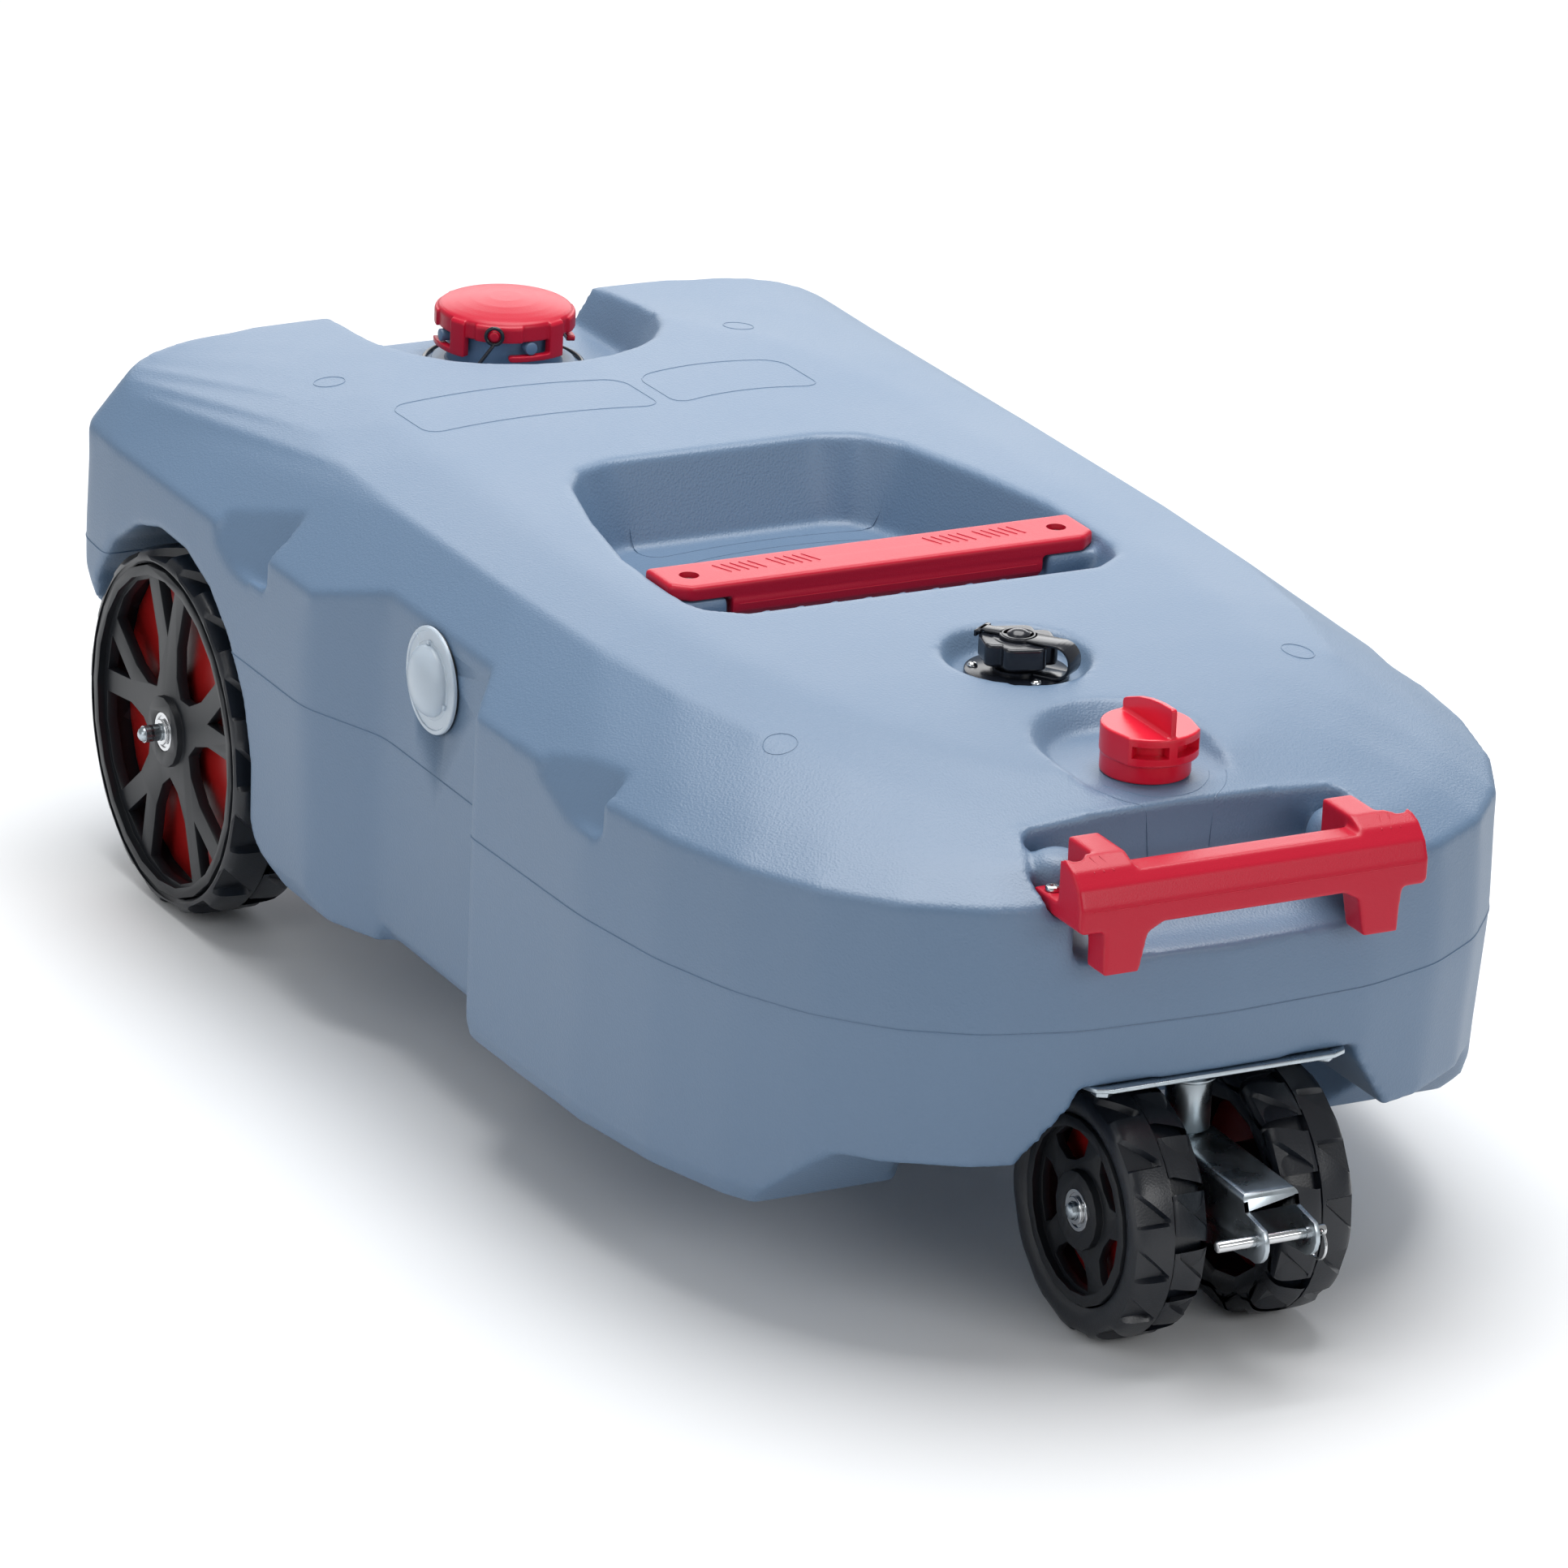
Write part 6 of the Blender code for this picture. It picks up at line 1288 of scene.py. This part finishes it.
class TANK_OT_vent(bpy.types.Operator):
    """Build the vent's screw cap with its visor, air windows and fin"""
    bl_idname = "waste_tank.vent"
    bl_label = "Vent cap"

    def execute(self, context):
        at = upright(VENT) @ about_z(-math.pi / 2)
        low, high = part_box("vent_cap")
        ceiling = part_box("vent_seal")[1].z + SEAT
        head_top = high.z - 0.0192
        head_low = head_top - 0.0191
        fin_low = head_top - 0.004
        collar = turned([(0.0, head_low + 0.003), (VENT_COLLAR_R, head_low + 0.003),
                         (VENT_COLLAR_R, low.z + 0.0008), (VENT_COLLAR_R - 0.0008, low.z), (0.0, low.z)], 96)
        head = slab(visor_outline(VENT_HEAD_R, VENT.y - low.y), head_low, head_top)
        rounded(head, level_edges(head), 0.0013, 4)
        fin_line = ([(FIN_BACK_X, fin_low), (FIN_FRONT_X, fin_low)]
                    + arc((FIN_FRONT_X - FIN_TIP_R, high.z - FIN_TIP_R), FIN_TIP_R, 0, math.pi / 2, 4)
                    + [(0.015, high.z - 0.0006), (0.003, high.z - 0.0022), (-0.010, high.z - 0.0052)]
                    + [(-0.0255, high.z - 0.0108), (-0.0284, high.z - 0.0124), (-0.0294, high.z - 0.0150)])
        fin = slab(fin_line, -FIN_HALF, FIN_HALF, axis="Y", edge=0.0005)
        foot = slab([(-0.0275, head_top - 0.003), (0.0315, head_top - 0.003), (0.0315, head_top + 0.0009),
                     (-0.0275, head_top + 0.0009)], -0.0034, 0.0034, axis="Y", edge=0.0008)
        cap = melted(added(collar, head, fin, foot), 0.0006, 3)
        window = [(0.0263, head_low + 0.0058), (0.0263, head_low + 0.0138), (0.045, head_low + 0.0138),
                  (0.045, head_low + 0.0058)]
        near, far = AIR_WINDOW
        cutters = [rod(VENT_CAP_BORE_R, low.z - 0.02, ceiling, (0, 0), segments=72),
                   turned(window, 12, None, -far, far - near), turned(window, 12, None, near, far - near)]
        cap = moved(cut(thinned(cap, 90000), *cutters), at)
        piece("vent_screw_cap", cap, "cap_red", "vent_closure", "red_plastic", "vent_cap", angle=50)
        low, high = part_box("vent_seal")
        ring = [(0.0157, low.z), (0.0157, high.z), (0.0208, high.z), (0.0208, low.z)]
        piece("vent_cap_seal", hoop(ring, 64, at), "seal", "vent_sealing", "seal_rubber", "vent_seal")
        return {"FINISHED"}


# Rinse port

RINSE_NECK_R = 0.012
RINSE_BORE_R = 0.009
KNOB_TURN = math.radians(-106)
KNOB_REACH, KNOB_HALF, KNOB_CORNER = 0.0244, 0.0145, 0.006
STRAP_TURN = math.radians(-55)
STRAP_THICK = 0.0018
STRAP_HALF, STRAP_ARM_HALF = 0.0085, 0.005
CROSS_LONG, CROSS_SHORT = 0.0019, 0.00035      # half sizes of a screw's cross recess


def cross_knob():
    """The knob: a drum with two crossed bars melted into it, bored for the neck."""
    low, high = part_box("rinse_cap")
    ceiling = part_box("rinse_flange")[1].z + SEAT
    knob = turned([(0.0, high.z), (0.0160, high.z), (0.0168, high.z - 0.0008), (0.0168, low.z + 0.0008),
                   (0.0160, low.z), (0.0, low.z)], 72)
    outline = rounded_plan(-KNOB_REACH, -KNOB_HALF, KNOB_REACH, KNOB_HALF, KNOB_CORNER, 6)
    for turn in (KNOB_TURN, KNOB_TURN + math.pi / 2):
        arm = slab(outline, low.z + 0.003, high.z - 0.0004)
        added(knob, moved(rounded(arm, level_edges(arm), 0.0018, 4), about_z(turn)))
    knob = thinned(melted(knob, 0.00055, 4), 70000)
    return cut(knob, rod(RINSE_NECK_R + 0.0007, low.z - 0.01, ceiling, (0, 0), segments=56))


def knob_strap():
    """The strap: a dome over the knob, an arm with a bar that grips it, and a bend down to its collar."""
    low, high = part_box("rinse_strap")
    thick = STRAP_THICK
    strap_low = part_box("rinse_cap")[1].z + SEAT
    strap_top = strap_low + thick
    foot = low.z
    top = [(0.0, high.z), (0.0022, high.z - 0.0001), (0.0044, high.z - 0.0007), (0.0062, high.z - 0.0018),
           (0.0074, strap_top + 0.0008), (0.0078, strap_top), (0.0098, strap_top),
           (0.0100, strap_top + 0.0004), (0.0110, strap_top + 0.0004), (0.0112, strap_top),
           (0.0122, strap_top), (0.0127, strap_top - 0.0005), (0.0127, strap_low), (0.0, strap_low)]
    dome = turned(top, 72)
    bend_r = (strap_top - foot) / 2
    bend = (0.0298, foot + bend_r)
    collar_r = RINSE_NECK_R + 0.0045
    side_view = ([(0.006, strap_top)] + arc(bend, bend_r, math.pi / 2, -math.pi / 2, 16)
                 + [(collar_r - 0.001, foot), (collar_r - 0.001, foot + thick)]
                 + arc(bend, bend_r - thick, -math.pi / 2, math.pi / 2, 16) + [(0.006, strap_low)])
    grip = math.hypot(KNOB_REACH, KNOB_HALF - KNOB_CORNER) + 0.0006
    arm_view = [(-0.006, strap_low), (-0.006, strap_top), (-grip - 0.0004, strap_top),
                (-grip - thick, strap_top - 0.0008), (-grip - thick, strap_low - 0.003),
                (-grip, strap_low - 0.003), (-grip, strap_low)]
    bar_view = [(-grip + 0.0025, strap_low), (-grip + 0.0025, strap_top), *arm_view[2:]]
    parts = [moved(slab(view, -half, half, axis="Y", edge=0.0004), about_z(STRAP_TURN))
             for view, half in ((side_view, STRAP_HALF), (arm_view, STRAP_ARM_HALF), (bar_view, STRAP_HALF))]
    collar = [(RINSE_NECK_R + 0.0008, foot), (RINSE_NECK_R + 0.0008, foot + thick),
              (collar_r, foot + thick), (collar_r, foot)]
    return added(dome, *parts, hoop(collar, 48))


class TANK_OT_rinse(bpy.types.Operator):
    """Build the rinse port's flange, cross knob, strap and screws"""
    bl_idname = "waste_tank.rinse"
    bl_label = "Rinse port"

    def execute(self, context):
        at = upright(RINSE)
        low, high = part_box("rinse_flange")
        neck = RINSE_NECK_R
        outer = (high.x - low.x) / 2
        seat = high.z - 0.0210
        face = seat + 0.0032
        profile = [(RINSE_BORE_R, low.z), (RINSE_BORE_R, high.z - 0.0004), (RINSE_BORE_R + 0.0004, high.z),
                   (neck - 0.0004, high.z), (neck, high.z - 0.0004), (neck, face + 0.0012),
                   (neck + 0.0008, face + 0.0003), (outer - 0.0012, face), (outer - 0.0003, face - 0.0004),
                   (outer, face - 0.0012), (outer, seat), (neck, seat), (neck, low.z)]
        piece("rinse_base", hoop(profile, 96, at), "black", "tank", "black_plastic", "rinse_flange")
        heads = bmesh.new()
        screws = [f"rinse_screw_{i}" for i in (1, 2, 3)]
        for node in screws:
            spot, top = middle(node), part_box(node)[1].z
            dome = [(0.0, top), (0.0014, top - 0.0001), (0.0026, top - 0.0006), (0.0034, top - 0.0014),
                    (0.0036, top - 0.0022), (0.0, top - 0.0022)]
            cross = [block((spot.x - along, spot.y - across, top - 0.0009),
                           (spot.x + along, spot.y + across, top + 0.001))
                     for along, across in ((CROSS_LONG, CROSS_SHORT), (CROSS_SHORT, CROSS_LONG))]
            added(heads, cut(turned(dome, 32, upright(spot)), *cross))
        piece("rinse_base_screws", heads, "steel", "tank", "bright_steel", *screws)

        piece("rinse_knob", moved(cross_knob(), at), "black", "rinse_closure", "black_plastic", "rinse_cap",
              angle=50)
        piece("rinse_keeper_strap", moved(knob_strap(), at), "black", "rinse_keeper", "black_plastic",
              "rinse_strap")
        return {"FINISHED"}


# Level window

PANE_DOME_R = 0.0245
PANE_WALL = 0.0022
PANE_RISE = 0.0026                      # height of the rim's inner step
TABS = 3


def on_side(corner):
    """Puts a shape made round Z onto the left side, its foot at a box's inner face."""
    return Matrix.Translation((corner.x, WINDOW.y, WINDOW.z)) @ Matrix.Rotation(-math.pi / 2, 4, "Y")


class TANK_OT_window(bpy.types.Operator):
    """Build the frosted level window and its gasket"""
    bl_idname = "waste_tank.window"
    bl_label = "Level window"

    def execute(self, context):
        low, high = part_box("window_gasket")
        thick = high.x - low.x
        ring = [(0.0265, 0.0), (0.0265, thick), (0.0355, thick), (0.0355, 0.0)]
        piece("window_seal", hoop(ring, 72, on_side(high)), "seal", "tank", "seal_rubber", "window_gasket")
        low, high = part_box("level_window")
        out = on_side(high)
        depth = high.x - low.x
        angles = [math.pi / 2 * i / 14 for i in range(15)]
        dome = [(PANE_DOME_R * math.sin(a), PANE_RISE + (depth - PANE_RISE) * math.cos(a)) for a in angles]
        inner = [((PANE_DOME_R - PANE_WALL) * math.sin(a), (depth - PANE_WALL) * math.cos(a))
                 for a in reversed(angles)]
        profile = dome + [(0.0262, PANE_RISE), (0.0268, 0.0020), (0.0330, 0.0018), (0.0336, PANE_RISE),
                          (0.0358, PANE_RISE), (0.0365, 0.0018), (0.0365, 0.0)] + inner
        pane = turned(profile, 96, out)
        tabs = [moved(block((-0.002, 0.0248, 0.0014), (0.002, 0.0272, 0.0040), 0.0005),
                      out @ about_z(math.tau * i / TABS + math.radians(35))) for i in range(TABS)]
        piece("level_window_dome", added(pane, *tabs), "window", "tank", "clear_plastic", "level_window",
              angle=40)
        return {"FINISHED"}


# Stage

CAMERA_SPOT = Vector((-2.7995, -5.04845, 2.3658))
CAMERA_YAW, CAMERA_PITCH, CAMERA_ROLL = 0.4994, 0.3599, 0.0473      # radians
FLOOR_HALF = 30.0


def area(name, power, size, place, target, tint=(1.0, 1.0, 1.0)):
    """A rectangular light at a place, facing a target."""
    data = bpy.data.lights.new(name, "AREA")
    data.energy = power
    data.shape = "RECTANGLE"
    data.size, data.size_y = size
    data.color = tint
    lamp = linked(name, data)
    lamp.location = place
    lamp.rotation_euler = (Vector(target) - Vector(place)).to_track_quat("-Z", "Y").to_euler()


def aimed(spot, yaw, pitch, roll):
    """A camera's place and aim: yaw from +Y to the right, pitch downwards, then roll about the view."""
    ahead = Vector((math.sin(yaw) * math.cos(pitch), math.cos(yaw) * math.cos(pitch), -math.sin(pitch)))
    right = Vector((ahead.y, -ahead.x, 0)).normalized()
    up = right.cross(ahead)
    across = math.cos(roll) * right + math.sin(roll) * up
    above = -math.sin(roll) * right + math.cos(roll) * up
    return Matrix(((across.x, above.x, -ahead.x, spot.x), (across.y, above.y, -ahead.y, spot.y),
                   (across.z, above.z, -ahead.z, spot.z), (0, 0, 0, 1)))


class TANK_OT_stage(bpy.types.Operator):
    """Set the floor, the studio light and the camera"""
    bl_idname = "waste_tank.stage"
    bl_label = "Stage"

    def execute(self, context):
        look = context.scene.stage_settings
        scene = context.scene
        bm = bmesh.new()
        bmesh.ops.create_grid(bm, x_segments=2, y_segments=2, size=FLOOR_HALF)
        floor = standing("floor", bm)
        values = grained(300.0, 0.00005, 0.01, 0.01, 0.7, 0.8)
        floor.data.materials.append(surface("floor", moulded_grain(), look.floor, values, ("Roughness",))[0])

        world = bpy.data.worlds.new("studio")
        world.use_nodes = True
        background = world.node_tree.nodes["Background"]
        background.inputs["Color"].default_value = (0.97, 0.985, 1.0, 1.0)
        background.inputs["Strength"].default_value = look.sky
        scene.world = world

        area("over_deck", look.top_light, (2.4, 2.4), (0.3, 0.4, 3.0), (0, 0.0, 0.2))
        area("far_wall", look.back_light, (5.0, 2.4), (2.4, 4.4, 1.9), (0, 0.0, 0.3))
        area("left_wall", look.side_light, (0.9, 2.2), (-3.0, -0.3, 1.1), (0, 0, 0.2), (0.96, 0.98, 1.0))
        area("left_strip", look.strip_light, (0.35, 2.4), (-2.3, -1.2, 1.9), (0, -0.1, 0.2))
        area("tow_end", look.front_light, (1.4, 0.7), (0.7, -3.2, 1.5), (0, -0.4, 0.2))

        camera = linked("camera", bpy.data.cameras.new("camera"))
        camera.data.lens = look.lens
        camera.data.sensor_width = 36.0
        camera.data.clip_end = 80.0
        camera.matrix_world = aimed(CAMERA_SPOT, CAMERA_YAW, CAMERA_PITCH, CAMERA_ROLL)
        scene.camera = camera
        scene.view_settings.view_transform = "Standard"
        return {"FINISHED"}


OPERATORS = (TANK_OT_stage, TANK_OT_shell, TANK_OT_top_handle, TANK_OT_front_handle, TANK_OT_rear_wheels,
             TANK_OT_front_wheels, TANK_OT_caster, TANK_OT_inlet, TANK_OT_vent, TANK_OT_rinse, TANK_OT_window)


class TANK_PT_panel(bpy.types.Panel):
    """Lists the tank's settings and its operators"""
    bl_label = "Waste water tank"
    bl_idname = "TANK_PT_panel"
    bl_space_type = "VIEW_3D"
    bl_region_type = "UI"
    bl_category = "Tank"

    def draw(self, context):
        for name, kind in GROUPS.items():
            box = self.layout.box()
            for key in kind.__annotations__:
                box.prop(getattr(context.scene, name), key)
        for operator in OPERATORS:
            self.layout.operator(operator.bl_idname)


def register():
    """Adds the settings, the operators and the panel to Blender."""
    for kind in (*GROUPS.values(), *OPERATORS, TANK_PT_panel):
        bpy.utils.register_class(kind)
    for name, kind in GROUPS.items():
        setattr(bpy.types.Scene, name, PointerProperty(type=kind))


def unregister():
    """Takes them away again."""
    for name in GROUPS:
        delattr(bpy.types.Scene, name)
    for kind in (TANK_PT_panel, *OPERATORS, *GROUPS.values()):
        bpy.utils.unregister_class(kind)


def main():
    """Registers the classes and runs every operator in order."""
    register()
    for operator in OPERATORS:
        family, action = operator.bl_idname.split(".")
        getattr(getattr(bpy.ops, family), action)()


if __name__ == "__main__":
    main()
